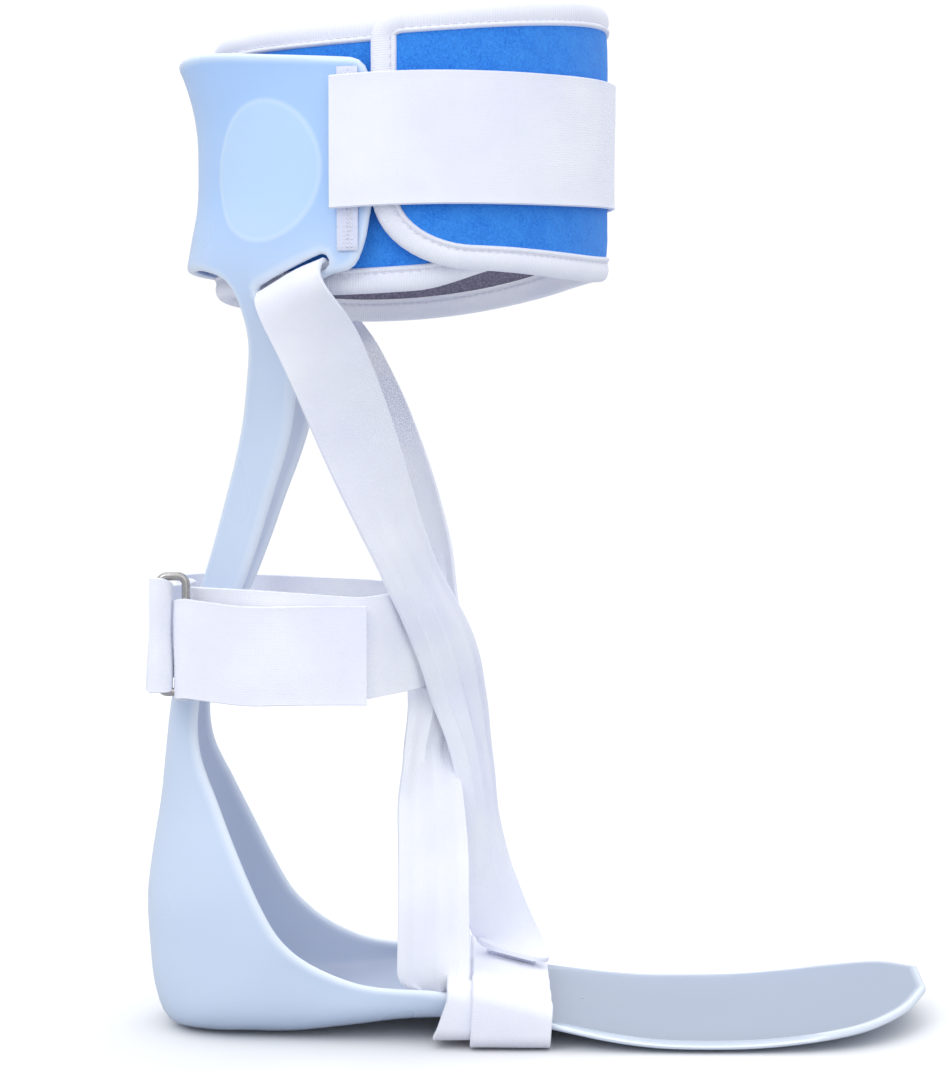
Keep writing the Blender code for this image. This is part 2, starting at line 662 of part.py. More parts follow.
def fold_stations(side):
    """A long strap's way out through its slot, in which its sewn end is held, and down the outside."""
    u, v = on_side(side, SLOT_SHARE, down_to(SLOT_Z))
    here, across, down, outward = shell_frame(u, v)
    du, dv = slot_direction(side)
    reach = 0.5 * TAPE_WIDTH
    front = Vector(shell_point(u + reach * du, v + reach * dv))
    rear = Vector(shell_point(u - reach * du, v - reach * dv))
    along = (front - rear).normalized()
    below = outward.cross(along) * side
    hollow = here - 0.5 * (front + rear)
    deep = SHELL_THICKNESS + 0.2
    stops = ((-deep, -0.2, 1.0), (-1.4, -0.1, 1.0), (0.9, 0.3, 0.9), (2.4, 2.4, 0.2), (3.0, 8.0, 0.0))
    return [(*(here + outward * out + below * drop), *along, *(hollow * bow)) for out, drop, bow in stops]


# Middle of each long strap and the direction across it, from below its slot to its lower end
UPPER_ROUTE = ((-46.0, 55.5, 216.0, 0.90, 0.10, 0.42), (-37.0, 43.5, 193.0, 0.85, -0.20, 0.48),
               (-28.0, 33.5, 169.0, 0.68, -0.45, 0.55), (-20.0, 25.0, 147.0, 0.49, -0.66, 0.57))
LATERAL_LOWER = ((-8.0, -12.5, 123.0, 0.35, 0.85, 0.40), (0.5, 0.0, 104.0, 0.12, 0.98, 0.10),
                 (3.2, 4.0, 85.0, 0.30, 0.95, 0.05), (6.0, 7.5, 60.0, 0.50, 0.86, 0.05),
                 (9.5, 10.5, 40.0, 0.70, 0.70, 0.00), (11.5, 12.0, 25.0, 0.90, 0.40, -0.10),
                 (12.5, 10.0, 21.0, 0.97, 0.00, -0.24), (12.5, 3.5, 20.0, 0.97, 0.00, -0.24))
MEDIAL_LOWER = ((-12.0, 15.5, 124.0, 0.30, -0.88, 0.40), (-7.5, 1.0, 103.0, 0.12, -0.98, 0.10),
                (-9.5, -9.0, 86.0, 0.60, -0.78, 0.05), (-13.0, -18.0, 62.0, 0.85, -0.45, 0.00),
                (-13.5, -24.0, 42.0, 0.95, -0.15, 0.00), (-13.5, -27.0, 24.0, 0.98, 0.00, -0.10))


def build_long_strap(name, side, lower):
    mirrored = [(x, side * y, z, ax, side * ay, az) for x, y, z, ax, ay, az in UPPER_ROUTE]
    stations = fold_stations(side) + mirrored + list(lower)
    rows = tape_rows(stations, TAPE_WIDTH, 9.0)
    grid_sheet(name, rows, TAPE_THICKNESS, 0, WEBBING)


def wrap_height(x, extra):
    """Height of a wrap's top run, over the footplate's edges."""
    return LOOP_Z + LOOP_TILT * (x - LOOP_X) + extra


def build_sole_wrap(name, centre_x, half_width, low, extra):
    """A turn of tape round the footplate: under the sole and across above it."""
    radius = 4.0
    corners = ((1, False, -90), (1, True, 0), (-1, True, 90), (-1, False, 180))
    rows = []
    for side, upper, first in corners:
        for turn in (first, first + 45, first + 90):
            y = side * (half_width - radius) + radius * math.cos(math.radians(turn))
            rise = radius * math.sin(math.radians(turn))
            row = []
            for x in (centre_x - 0.5 * TAPE_WIDTH, centre_x, centre_x + 0.5 * TAPE_WIDTH):
                level = wrap_height(x, extra) - radius if upper else low + radius
                row.append((x, y, level + rise))
            rows.append(row)
    grid_sheet(name, rows, TAPE_THICKNESS, 0, WEBBING, closed=True)


def build_wrap_hook(name, x_range, y_range, extra):
    """A hook patch lying on a wrap's top run."""
    lift = extra + 0.5 * (TAPE_THICKNESS + HOOK_THICKNESS) + 0.35
    rows = [[(x, y, wrap_height(x, lift)) for x in x_range] for y in y_range]
    grid_sheet(name, rows, HOOK_THICKNESS, 0, HOOK)


# --- the ankle strap and its ring ------------------------------------------------------------------

def round_leg(leg, angles, level):
    """Stations of a strap's middle as it turns round a leg of the ring."""
    turns = [math.radians(a) for a in angles]
    return [(leg[0] + STRAP_TURN * math.cos(t), leg[1] + STRAP_TURN * math.sin(t), level, 0.0, 0.0, 1.0)
            for t in turns]


def ankle_stations():
    """The fixed length, from its fold round the ring's rear leg, behind the neck and round the ankle."""
    ring_x, ring_y = RING_REAR
    turn = STRAP_TURN
    behind, _, _, outward = shell_frame(0.0, down_to(ANKLE_Z))
    behind = behind + outward * (BACK_STRAP_GAP + 0.5 * STRAP_THICKNESS)
    lean = 0.2
    level, front_level = ANKLE_Z, ANKLE_FRONT_Z
    return (
        (ring_x - 2.4, ring_y + turn, level, 0.0, 0.0, 1.0),
        *round_leg(RING_REAR, (90, 60, 30, 0, -30, -60, -90), level),
        (ring_x - 3.4, ring_y - 1.6, level, 0.02, 0.0, 1.0),
        (ring_x - 5.4, ring_y + 2.5, level, 0.06, 0.0, 1.0),
        (ring_x - 4.4, -22.0, level, 0.14, 0.0, 1.0),
        (behind.x - 0.4, -9.0, level, lean, 0.0, 1.0),
        (behind.x, 0.0, level, lean, 0.0, 1.0),
        (behind.x - 0.4, 9.0, level, lean, 0.0, 1.0),
        (-101.0, 24.0, level, 0.12, 0.0, 1.0),
        (-97.0, 34.5, level, 0.04, 0.0, 1.0),
        (-86.0, 37.0, level, 0.0, 0.0, 1.0),
        (-62.0, 37.5, level - 1.0, 0.0, 0.0, 1.0),
        (-38.0, 36.0, level - 2.0, 0.0, 0.0, 1.0),
        (-27.0, 27.0, front_level, 0.0, 0.0, 1.0),
        (-19.0, 12.0, front_level, 0.0, 0.0, 1.0),
        (-17.0, 0.0, front_level, 0.0, 0.0, 1.0),
        (-19.0, -11.0, front_level, 0.0, 0.0, 1.0),
        (-27.5, -26.5, front_level, 0.0, 0.0, 1.0),
        (-35.0, -33.6, level - 3.0, 0.0, 0.0, 1.0),
        (-45.0, -34.4, level - 2.5, 0.0, 0.0, 1.0),
        (-66.0, -34.4, level - 1.0, 0.0, 0.0, 1.0),
        (RING_FRONT[0] + 4.2, RING_FRONT[1] + turn, level, 0.0, 0.0, 1.0),
    )


def build_ankle_strap():
    """The strap's fixed length, with a hole drilled for the rivet that holds it to the neck."""
    rows = tape_rows(ankle_stations(), ANKLE_STRAP_WIDTH, 8.0)
    strap = grid_sheet("ankle_strap", rows, STRAP_THICKNESS, 0, WEBBING)
    here, _, _, outward = shell_frame(0.0, down_to(NECK_RIVET_Z))
    drill(strap, here, outward, RIVET_HOLE)


def drill(item, point, along, radius):
    """Cuts a round hole through a solid with a hidden cylinder."""
    bpy.ops.mesh.primitive_cylinder_add(vertices=12, radius=radius * MM, depth=24.0 * MM)
    cutter = bpy.context.object
    cutter.name = item.name + "_drill"
    cutter.location = frame_point(*point)
    cutter.rotation_mode = "QUATERNION"
    cutter.rotation_quaternion = Vector((0.0, 0.0, 1.0)).rotation_difference(along)
    cutter.hide_render = True
    cutter.display_type = "WIRE"
    for collection in list(cutter.users_collection):
        collection.objects.unlink(cutter)
    CUTTERS.objects.link(cutter)
    cut = item.modifiers.new("rivet_hole", "BOOLEAN")
    cut.operation = "DIFFERENCE"
    cut.solver = "EXACT"
    cut.object = cutter


def build_ring():
    """A rectangular wire ring with round corners, lying along the strap."""
    curve = bpy.data.curves.new("ankle_ring", "CURVE")
    curve.dimensions = "3D"
    curve.bevel_depth = RING_WIRE * MM
    curve.bevel_resolution = 2
    corner = 2.4
    (rear, y), front = RING_REAR, RING_FRONT[0]
    low, high = ANKLE_Z - 0.5 * RING_HEIGHT, ANKLE_Z + 0.5 * RING_HEIGHT
    middles = ((front - corner, high - corner, 0), (rear + corner, high - corner, 90),
               (rear + corner, low + corner, 180), (front - corner, low + corner, 270))
    points = []
    for x, z, first in middles:
        for k in range(4):
            turn = math.radians(first + 30.0 * k)
            points.append(frame_point(x + corner * math.cos(turn), y, z + corner * math.sin(turn)))
    spline = curve.splines.new("POLY")
    spline.points.add(len(points) - 1)
    for slot, p in zip(spline.points, points):
        slot.co = (*p, 1.0)
    spline.use_cyclic_u = True
    wire = bpy.data.objects.new("ankle_ring", curve)
    PART.objects.link(wire)
    curve.materials.append(make_material("ankle_ring", *RING_METAL))


def build_strap_end():
    """The free length: round the ring's front leg and forward over the strap, with its hook patch."""
    x, y = RING_FRONT
    stations = round_leg(RING_FRONT, (90, 120, 150, 180, 210, 240, 270), ANKLE_Z)
    stations += [
        (x + 8.0, y - 2.0, ANKLE_Z - 0.6, 0.0, 0.0, 1.0), (-70.0, -37.2, ANKLE_Z - 2.0, 0.0, 0.0, 1.0),
        (-52.0, -37.2, ANKLE_Z - 3.6, 0.0, 0.0, 1.0), (-33.8, -37.0, ANKLE_Z - 5.0, 0.0, 0.0, 1.0),
    ]
    rows = tape_rows(stations, ANKLE_STRAP_WIDTH - 1.0, 7.0)
    grid_sheet("ankle_strap_end", rows, STRAP_THICKNESS, 0, WEBBING)
    patch = [[(px, -35.8, ANKLE_Z - 3.0 + h) for h in (-12.0, 0.0, 12.0)] for px in (-66.0, -53.0, -40.0)]
    grid_sheet("ankle_strap_hook", patch, 0.6, 0, HOOK)


def hang_from_pivot(name, point, pieces):
    """An empty on a joint's axis, as the parent of the pieces that turn about it."""
    pivot = bpy.data.objects.new(name, None)
    pivot.location = frame_point(*point)
    PART.objects.link(pivot)
    for piece in pieces:
        item = bpy.data.objects[piece]
        item.parent = pivot
        item.matrix_parent_inverse = Matrix.Translation(-pivot.location)


clear_scene()
PART = bpy.data.collections.new("ankle_foot_orthosis")
bpy.context.scene.collection.children.link(PART)
CUTTERS = bpy.data.collections.new("cutters")
bpy.context.scene.collection.children.link(CUTTERS)
SPINE = spine()

build_shell()
build_pad("calf_pad", "calf_pad_binding", HINGE_ANGLE + 0.3, 360.0 + PAD_END, 8.0, 8.0)
build_pad("pad_flap", "pad_flap_binding", HINGE_ANGLE - 0.3, FLAP_END, 17.0, 10.0)
build_pad_disc("pad_hook_disc_lateral", -1)
build_pad_disc("pad_hook_disc_medial", 1)
build_calf_strap()
build_strap_anchor()
build_rivets()
build_long_strap("lateral_strap", -1, LATERAL_LOWER)
build_long_strap("medial_strap", 1, MEDIAL_LOWER)
build_sole_wrap("sole_wrap_rear", 3.5, 41.0, 3.3, 0.0)
build_sole_wrap("sole_wrap_front", 11.5, 42.9, 1.5, 1.8)
build_wrap_hook("lateral_strap_hook", (4.0, 12.0, 20.0), (2.0, 12.0, 20.0), 1.8)
build_wrap_hook("medial_strap_hook", (-8.0, -2.5), (-34.0, -20.0), 0.0)
build_ankle_strap()
build_ring()
build_strap_end()
hang_from_pivot("calf_hinge", polar(HINGE_ANGLE, HINGE_RADIUS, 280.0),
                ("calf_strap", "calf_strap_hook", "pad_flap", "pad_flap_binding"))
hang_from_pivot("ring_hinge", (*RING_REAR, ANKLE_Z), ("ankle_ring",))
hang_from_pivot("strap_end_hinge", (*RING_FRONT, ANKLE_Z), ("ankle_strap_end", "ankle_strap_hook"))
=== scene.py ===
"""The looks of the ankle foot orthosis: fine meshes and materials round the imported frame.

Lengths are drawing millimetres: x is 0 where the two long straps cross and grows towards the toes, y
grows towards the inner side of the foot, z is the height above the floor. frame_point() turns them
into the frame's metres.
"""

import math

import bmesh
import bpy
import numpy as np
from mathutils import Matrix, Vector, kdtree, noise
from mathutils.geometry import delaunay_2d_cdt


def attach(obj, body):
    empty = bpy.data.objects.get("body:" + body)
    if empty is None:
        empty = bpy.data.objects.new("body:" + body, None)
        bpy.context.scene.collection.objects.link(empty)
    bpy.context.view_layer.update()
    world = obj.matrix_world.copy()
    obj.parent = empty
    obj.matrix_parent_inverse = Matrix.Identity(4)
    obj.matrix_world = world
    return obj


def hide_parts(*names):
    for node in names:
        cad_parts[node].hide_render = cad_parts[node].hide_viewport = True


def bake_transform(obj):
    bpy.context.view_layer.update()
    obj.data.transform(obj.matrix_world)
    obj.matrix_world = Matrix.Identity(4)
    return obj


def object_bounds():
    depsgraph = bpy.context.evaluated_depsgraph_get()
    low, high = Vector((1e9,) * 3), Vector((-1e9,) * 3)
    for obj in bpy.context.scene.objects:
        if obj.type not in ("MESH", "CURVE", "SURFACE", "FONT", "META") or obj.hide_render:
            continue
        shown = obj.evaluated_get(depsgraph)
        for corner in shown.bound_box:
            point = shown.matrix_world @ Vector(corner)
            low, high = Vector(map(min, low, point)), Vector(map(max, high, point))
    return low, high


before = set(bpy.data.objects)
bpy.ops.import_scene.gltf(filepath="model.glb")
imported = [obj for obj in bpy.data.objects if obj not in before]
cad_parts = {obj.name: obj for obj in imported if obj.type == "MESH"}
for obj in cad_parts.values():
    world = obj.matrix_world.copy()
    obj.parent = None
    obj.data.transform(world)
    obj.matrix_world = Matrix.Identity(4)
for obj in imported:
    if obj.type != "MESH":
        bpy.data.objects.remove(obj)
CAD_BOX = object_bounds()

MM = 0.001
CENTRE_X = 21.0               # drawing x of the frame's origin, the middle of the object's length
CENTRE_Y = -0.7               # drawing y of the frame's origin, the middle of the object's width

SHELL_THICKNESS = 2.6
SHELL_STEP = 3.4              # spacing of the shell's mesh
OUTLINE_STEP = 2.4            # spacing of the points on the shell's edges
SPINE_STEPS = 20              # pieces of the spine between two stations
SECTION_STEPS = 90            # pieces of half a section
SOLE_FLAT = 0.4               # what the sole is pressed flat by, under the heel and the ball
CALF_X = -22.0                # axis of the calf cuff
CUP_RADIUS = 67.0             # outside of the calf cup
PAD_INNER = 56.2              # inside of the calf pad
PAD_SCALE = math.radians(PAD_INNER)     # pattern millimetres for one degree round the calf
PAD_THICKNESS = 5.4
PAD_HALF = 41.5               # half the pad's height in its flat pattern
PAD_FACE = 2.15               # from the foam's middle to its cloth, beside the binding
PAD_PUFF = 0.55               # how much further the cloth stands out in the middle
FLAP_LIFT = 6.2               # how far the flap climbs to lie over the pad's inner end
BINDING_WIDTH = 7.5
HINGE_ANGLE = 60.0            # where the flap and the calf strap bend when they are opened
FLAP_END = -97.8              # angles round the calf: 0 is the front, 90 the inner side
PAD_END = 304.0
STRAP_THICKNESS = 1.8
CALF_STRAP_WIDTH = 39.0
CALF_STRAP_END = -107.4
ANCHOR_END = 113.0
STRAP_HOOK_ANGLES = (-58.0, -92.0)
HOOK_STRIP_ANGLES = (-100.8, -106.2)
HOOK_STRIP_Z = 273.0
HOOK_STRIP_HALF = 27.0
TAPE_WIDTH = 25.0
TAPE_THICKNESS = 1.4
HOOK_THICKNESS = 0.8
LOOP_X = 3.5                  # the turns of tape round the sole: where the rear one's middle lies,
LOOP_Z = 17.0                 # how high it runs there,
LOOP_TILT = -0.25             # and how it falls towards the toes
LOOP_CORNER = 4.0
FRONT_LOOP_LIFT = 1.8         # the front turn lies over the rear one by this much
ANKLE_STRAP_WIDTH = 32.0
ANKLE_Z = 128.2
ANKLE_FRONT_Z = 125.8
BACK_STRAP_GAP = 0.8          # between the neck and the ankle strap
RING_REAR = (-98.0, -36.5)    # x, y of the ring's rear leg, held by the strap's sewn fold
RING_FRONT = (-89.8, -36.5)   # x, y of the ring's front leg, which the free length turns round
RING_WIRE = 1.3
RING_HEIGHT = 36.0
RING_RAISE = 1.6
RING_CORNER = 2.4
STRAP_TURN = 3.0              # radius of the strap's middle round a leg of the ring
FOLD_RISE = 1.5               # the puffed fold beside the ring
FOLD_SWELL = 0.34
DISC_ANGLE = 129.0            # the round hook fasteners between pad and wing
DISC_Z = 271.0
DISC_RADIUS = 20.9
SLOT_SHARE = 0.672            # the long straps' slots: share of the half girth
SLOT_Z = 239.0
SLOT_LENGTH = 29.5
SLOT_WIDTH = 4.6
SLOT_SLANT = math.radians(21.4)
RIVET_HEAD = 4.5
RIVET_SHANK = 1.7
CALF_RIVET_ANGLE = 104.5
CALF_RIVET_Z = (268.0, 289.0)
NECK_RIVET_Z = 119.0

CAMERA = (-0.5, -750.0, 195.0)
CAMERA_PITCH = 2.87           # degrees below the horizon
CAMERA_LENS = 77.0
SKY_LOW = 0.44                # brightness of the surround at the horizon and overhead
SKY_HIGH = 1.62
FLOOR_REACH = 40.0            # metres
WHITE = (1.0, 1.0, 1.0)
# Each soft light's name, place and size in metres, power and colour
LIGHTS = (
    ("key", (-0.9, -1.3, 1.3), 1.0, 6.0, WHITE),
    ("front", (0.5, -1.7, 0.5), 1.4, 3.0, (0.92, 0.95, 1.0)),
    ("back", (0.6, 1.4, 1.4), 1.2, 4.0, WHITE),
)

# The shell's back down the cuff: x, z
CUFF_LINE = ((-95.4, 310.0), (-91.6, 299.0), (-89.4, 288.0), (-89.0, 276.0), (-89.4, 264.0),
             (-91.4, 253.0), (-92.6, 244.0))
# Down the uprights and the neck: x, z, x of the section's edge, half width
LEG_LINE = (
    (-90.8, 235.0, -22.3, 66.4), (-87.6, 224.0, -23.2, 62.5), (-85.0, 210.0, -25.5, 55.0),
    (-84.2, 192.0, -30.0, 44.5), (-86.3, 170.0, -44.5, 33.5), (-90.0, 148.0, -62.0, 24.5),
    (-93.6, 132.0, -76.0, 20.5), (-96.5, 118.0, -85.0, 18.4), (-99.2, 105.0, -88.4, 18.0),
)
# Round the heel and along the foot: x and z on the centre line, x and z of the section's edge, half
# width, squareness, extra height of the inner side
FOOT_LINE = (
    (-100.9, 90.0, -87.6, 91.0, 21.0, 2.0, 0.0),
    (-102.6, 74.0, -81.5, 75.5, 25.5, 2.0, 1.0),
    (-105.2, 58.0, -75.5, 61.0, 29.5, 2.1, 2.0),
    (-107.0, 43.0, -69.0, 46.5, 32.0, 2.2, 2.5),
    (-106.4, 28.0, -63.0, 35.5, 33.0, 2.3, 2.5),
    (-104.6, 13.0, -57.0, 29.0, 33.2, 2.5, 2.5),
    (-100.0, 3.0, -52.0, 25.6, 33.0, 2.8, 2.0),
    (-90.0, 0.2, -46.5, 22.8, 33.0, 3.0, 1.5),
    (-75.0, 0.2, -39.5, 20.2, 33.2, 3.2, 1.0),
    (-60.0, 0.4, -32.5, 18.8, 33.8, 3.2, 0.5),
    (-42.0, 2.6, -24.0, 18.2, 34.6, 3.2, 0.0),
    (-22.0, 5.4, -12.0, 17.7, 35.6, 3.2, 0.0),
    (0.0, 6.4, 3.0, 14.4, 37.2, 3.2, 0.0),
    (20.0, 5.4, 21.0, 9.4, 39.6, 3.2, 0.0),
    (40.0, 2.4, 40.0, 5.4, 43.0, 3.0, 0.0),
    (56.0, 0.5, 56.0, 3.4, 44.6, 2.8, 0.0),
    (72.0, 0.2, 72.0, 3.0, 45.2, 2.8, 0.0),
    (88.0, 0.4, 88.0, 3.4, 45.0, 2.8, 0.0),
    (104.0, 1.8, 104.0, 4.8, 44.0, 2.8, 0.0),
    (120.0, 4.2, 120.0, 7.0, 42.5, 2.8, 0.0),
    (134.0, 7.2, 134.0, 9.8, 41.0, 2.8, 0.0),
    (150.0, 11.4, 150.0, 13.6, 39.0, 2.8, 0.0),
)
STATIONS = (
    *((x, z, CALF_X, z, CUP_RADIUS, 2.0, 0.0) for x, z in CUFF_LINE),
    *((x, z, edge_x, z, half, 2.0, 0.0) for x, z, edge_x, half in LEG_LINE),
    *FOOT_LINE,
)
NECK_EDGE_Z = 113.0
TOE_X = 104.0
# Share of the half girth, z (or x for the toe), rounding
CUP_EDGE = (
    (0.00, 310.0, 0.0), (0.35, 308.6, 12.0), (0.65, 305.0, 12.0), (0.90, 303.0, 5.0),
    (0.90, 241.5, 12.0), (0.78, 239.5, 6.0), (0.70, 229.0, 9.0), (0.66, 210.0, 9.0),
    (0.63, 192.0, 9.0), (0.64, 170.0, 9.0), (0.74, 148.0, 8.0), (0.90, 128.0, 8.0), (1.00, 113.0, 4.0),
)
BACK_OPENING = (
    (0.00, 243.5, 0.0), (0.30, 243.0, 9.0), (0.46, 238.0, 9.0), (0.475, 222.0, 6.0), (0.41, 205.0, 8.0),
    (0.36, 192.0, 8.0), (0.31, 170.0, 9.0), (0.28, 148.0, 8.0), (0.22, 132.0, 7.0), (0.00, 131.0, 0.0),
)
TOE_OUTER = ((1.00, 104.0, 0.0), (0.92, 122.0, 9.0), (0.62, 138.0, 9.0), (0.18, 147.0, 9.0))
TOE_INNER = ((1.00, 104.0, 0.0), (0.99, 122.0, 9.0), (0.86, 140.0, 9.0), (0.45, 149.0, 9.0))


def frame_point(x, y, z):
    return Vector(((x - CENTRE_X) * MM, (y - CENTRE_Y) * MM, z * MM))


# --- curves and patterns ---------------------------------------------------------------------------

def mix(a, b, share):
    return tuple(p + (q - p) * share for p, q in zip(a, b))


def smooth_step(value):
    value = min(1.0, max(0.0, value))
    return value * value * (3.0 - 2.0 * value)


def catmull(a, b, c, d, share):
    """A smooth curve through b and c."""
    return tuple(
        0.5 * (2 * q + (r - p) * share + (2 * p - 5 * q + 4 * r - s) * share ** 2
               + (3 * q - p - 3 * r + s) * share ** 3)
        for p, q, r, s in zip(a, b, c, d)
    )


def smooth_path(points, step):
    """Points about step apart on a smooth curve through the given ones."""
    path = []
    last = len(points) - 1
    for i in range(last):
        a, b, c, d = points[max(i - 1, 0)], points[i], points[i + 1], points[min(i + 2, last)]
        pieces = max(1, round(math.dist(b[:3], c[:3]) / step))
        path += [catmull(a, b, c, d, k / pieces) for k in range(pieces)]
    return path + [points[-1]]


def rounded(corners, steps=8):
    """A polyline through (a, b, rounding) corners, each cut back by its rounding."""
    line = []
    for i, (a, b, cut) in enumerate(corners):
        if cut <= 0 or i in (0, len(corners) - 1):
            line.append((a, b))
            continue
        before, here, after = corners[i - 1][:2], (a, b), corners[i + 1][:2]
        cut_in = min(cut, 0.5 * math.dist(here, before))
        cut_out = min(cut, 0.5 * math.dist(here, after))
        start = mix(here, before, cut_in / math.dist(here, before))
        end = mix(here, after, cut_out / math.dist(here, after))
        line += [mix(mix(start, here, k / steps), mix(here, end, k / steps), k / steps)
                 for k in range(steps + 1)]
    return line


def resample(line, step):
    """Points on the polyline at equal distances of about step."""
    travelled = [0.0]
    for a, b in zip(line, line[1:]):
        travelled.append(travelled[-1] + math.dist(a, b))
    count = max(2, round(travelled[-1] / step))
    points, at = [], 0
    for k in range(count + 1):
        target = travelled[-1] * k / count
        while at < len(line) - 2 and travelled[at + 1] < target:
            at += 1
        span = travelled[at + 1] - travelled[at]
        points.append(mix(line[at], line[at + 1], (target - travelled[at]) / max(span, 1e-9)))
    return points


def inside(points, walls):
    """Which of the points lie inside the walls, by the even-odd rule."""
    odd = np.zeros(len(points), bool)
    x, y = points[:, 0], points[:, 1]
    for (ax, ay), (bx, by) in walls:
        if ay != by:
            odd ^= ((ay > y) != (by > y)) & (x < (bx - ax) * (y - ay) / (by - ay) + ax)
    return odd


def tree_of(points):
    tree = kdtree.KDTree(len(points))
    for i, p in enumerate(points):
        tree.insert((*p, 0.0), i)
    tree.balance()
    return tree


RING_ROOM = 0.82              # share of a ring's distance that must be free of edges round its points
SLIVER = 1e-4                 # twice the area under which a flat triangle is left out


def fill_pattern(loops, step, rings):
    """Triangles between the loops, with extra rows of points at the rings' distances from them.

    Returns the flat points, the faces and each point's distance from the nearest loop."""
    points, edges, walls = [], [], []
    for loop in loops:
        first, count = len(points), len(loop)
        points += loop
        edges += [(first + i, first + (i + 1) % count) for i in range(count)]
        walls += [(loop[i], loop[(i + 1) % count]) for i in range(count)]
    fine = tree_of([mix(a, b, k / 4) for a, b in walls for k in range(4)])
    extra = []
    for loop in loops:
        count = len(loop)
        for i, p in enumerate(loop):
            before, after = loop[i - 1], loop[(i + 1) % count]
            length = math.dist(before, after)
            side = ((before[1] - after[1]) / length, (after[0] - before[0]) / length)
            for ring in rings:
                extra += [((p[0] + way * ring * side[0], p[1] + way * ring * side[1]), ring)
                          for way in (1, -1)]
    ringed = inside(np.array([p for p, _ in extra]), walls)
    for (p, ring), kept in zip(extra, ringed):
        if kept and fine.find((*p, 0.0))[2] > RING_ROOM * ring:
            points.append(p)
    reach = rings[-1] + 0.5 * step
    low, high = np.min(loops[0], 0), np.max(loops[0], 0)
    rise = step * math.sqrt(3) / 2
    grid = [(low[0] + (column + 0.5 * (row % 2)) * step, low[1] + row * rise)
            for row in range(1, int((high[1] - low[1]) / rise) + 1)
            for column in range(int((high[0] - low[0]) / step) + 1)]
    for p, kept in zip(grid, inside(np.array(grid), walls)):
        if kept and fine.find((*p, 0.0))[2] > reach:
            points.append(p)
    flat, _, faces, *_ = delaunay_2d_cdt([Vector(p) for p in points], edges, [], 0, 1e-5)
    flat = [tuple(p) for p in flat]
    middles = np.array([[sum(flat[i][k] for i in f) / 3 for k in (0, 1)] for f in faces])
    kept = []
    for face, within in zip(faces, inside(middles, walls)):
        (ax, ay), (bx, by), (cx, cy) = (flat[i] for i in face)
        if within and abs((bx - ax) * (cy - ay) - (by - ay) * (cx - ax)) > SLIVER:
            kept.append(face)
    used = sorted({i for face in kept for i in face})
    number = {old: new for new, old in enumerate(used)}
    distances = [fine.find((*flat[i], 0.0))[2] for i in used]
    return [flat[i] for i in used], [[number[i] for i in face] for face in kept], distances


# --- meshes ----------------------------------------------------------------------------------------

def new_piece(name, points, faces, values=None, sharp=50.0):
    """A mesh object from frame points, shaded smooth. values names attributes of its points: "cloth" is
    a place on the cloth, and the others are numbers."""
    mesh = bpy.data.meshes.new(name)
    mesh.from_pydata(points, [], faces)
    for key, numbers in (values or {}).items():
        if key == "cloth":
            layer = mesh.attributes.new(key, "FLOAT_VECTOR", "POINT")
            layer.data.foreach_set("vector", [c for v in numbers for c in v])
        else:
            mesh.attributes.new(key, "FLOAT", "POINT").data.foreach_set("value", numbers)
    work = bmesh.new()
    work.from_mesh(mesh)
    bmesh.ops.remove_doubles(work, verts=work.verts, dist=1e-6)
    bmesh.ops.dissolve_degenerate(work, edges=work.edges, dist=1e-7)
    bmesh.ops.recalc_face_normals(work, faces=work.faces)
    work.to_mesh(mesh)
    work.free()
    mesh.shade_smooth()
    mesh.set_sharp_from_angle(angle=math.radians(sharp))
    item = bpy.data.objects.new(name, mesh)
    bpy.context.scene.collection.objects.link(item)
    return item


CUFF_LOW = 230.0              # above this height, surfaces go round the calf's axis


def surface_normals(points, faces):
    """The points' normals, turned to point away from the calf's axis at the cuff."""
    mesh = bpy.data.meshes.new("surface")
    mesh.from_pydata(points, [], faces)
    mesh.update()
    axis = frame_point(CALF_X, 0.0, 0.0).xy
    leaning = 0.0
    for face in mesh.polygons:
        if face.center.z > CUFF_LOW * MM:
            leaning += face.normal.xy.dot(face.center.xy - axis) * face.area
    way = -1.0 if leaning < 0 else 1.0
    normals = [v.normal * way for v in mesh.vertices]
    bpy.data.meshes.remove(mesh)
    return normals


def thick_panel(name, loops, place, outer, inner, step, rings, values=None):
    """A pattern bent to place(a, b), as a closed solid from outer(d, a, b) to inner(d, a, b) along its
    normal, d being the distance from the pattern's edge."""
    flat, faces, away = fill_pattern(loops, step, rings)
    middle = [frame_point(*place(*p)) for p in flat]
    normals = surface_normals(middle, faces)
    count = len(flat)
    points = []
    for height in (outer, inner):
        points += [m + n * height(d, *p) * MM for m, n, d, p in zip(middle, normals, away, flat)]
    sides = {}
    for face in faces:
        for a, b in zip(face, face[1:] + face[:1]):
            sides[(a, b)] = sides.get((b, a), 0) + 1
            sides[(b, a)] = sides[(a, b)]
    rim = [(a, b) for (a, b), uses in sides.items() if uses == 1 and a < b]
    solid = [list(f) for f in faces] + [[i + count for i in reversed(f)] for f in faces]
    solid += [[a, b, b + count, a + count] for a, b in rim]
    layers = {"edge": away + away, "outside": [1.0] * count + [0.0] * count}
    for key, make in (values or {}).items():
        layers[key] = [make(*p) for p in flat] * 2
    return new_piece(name, points, solid, layers)


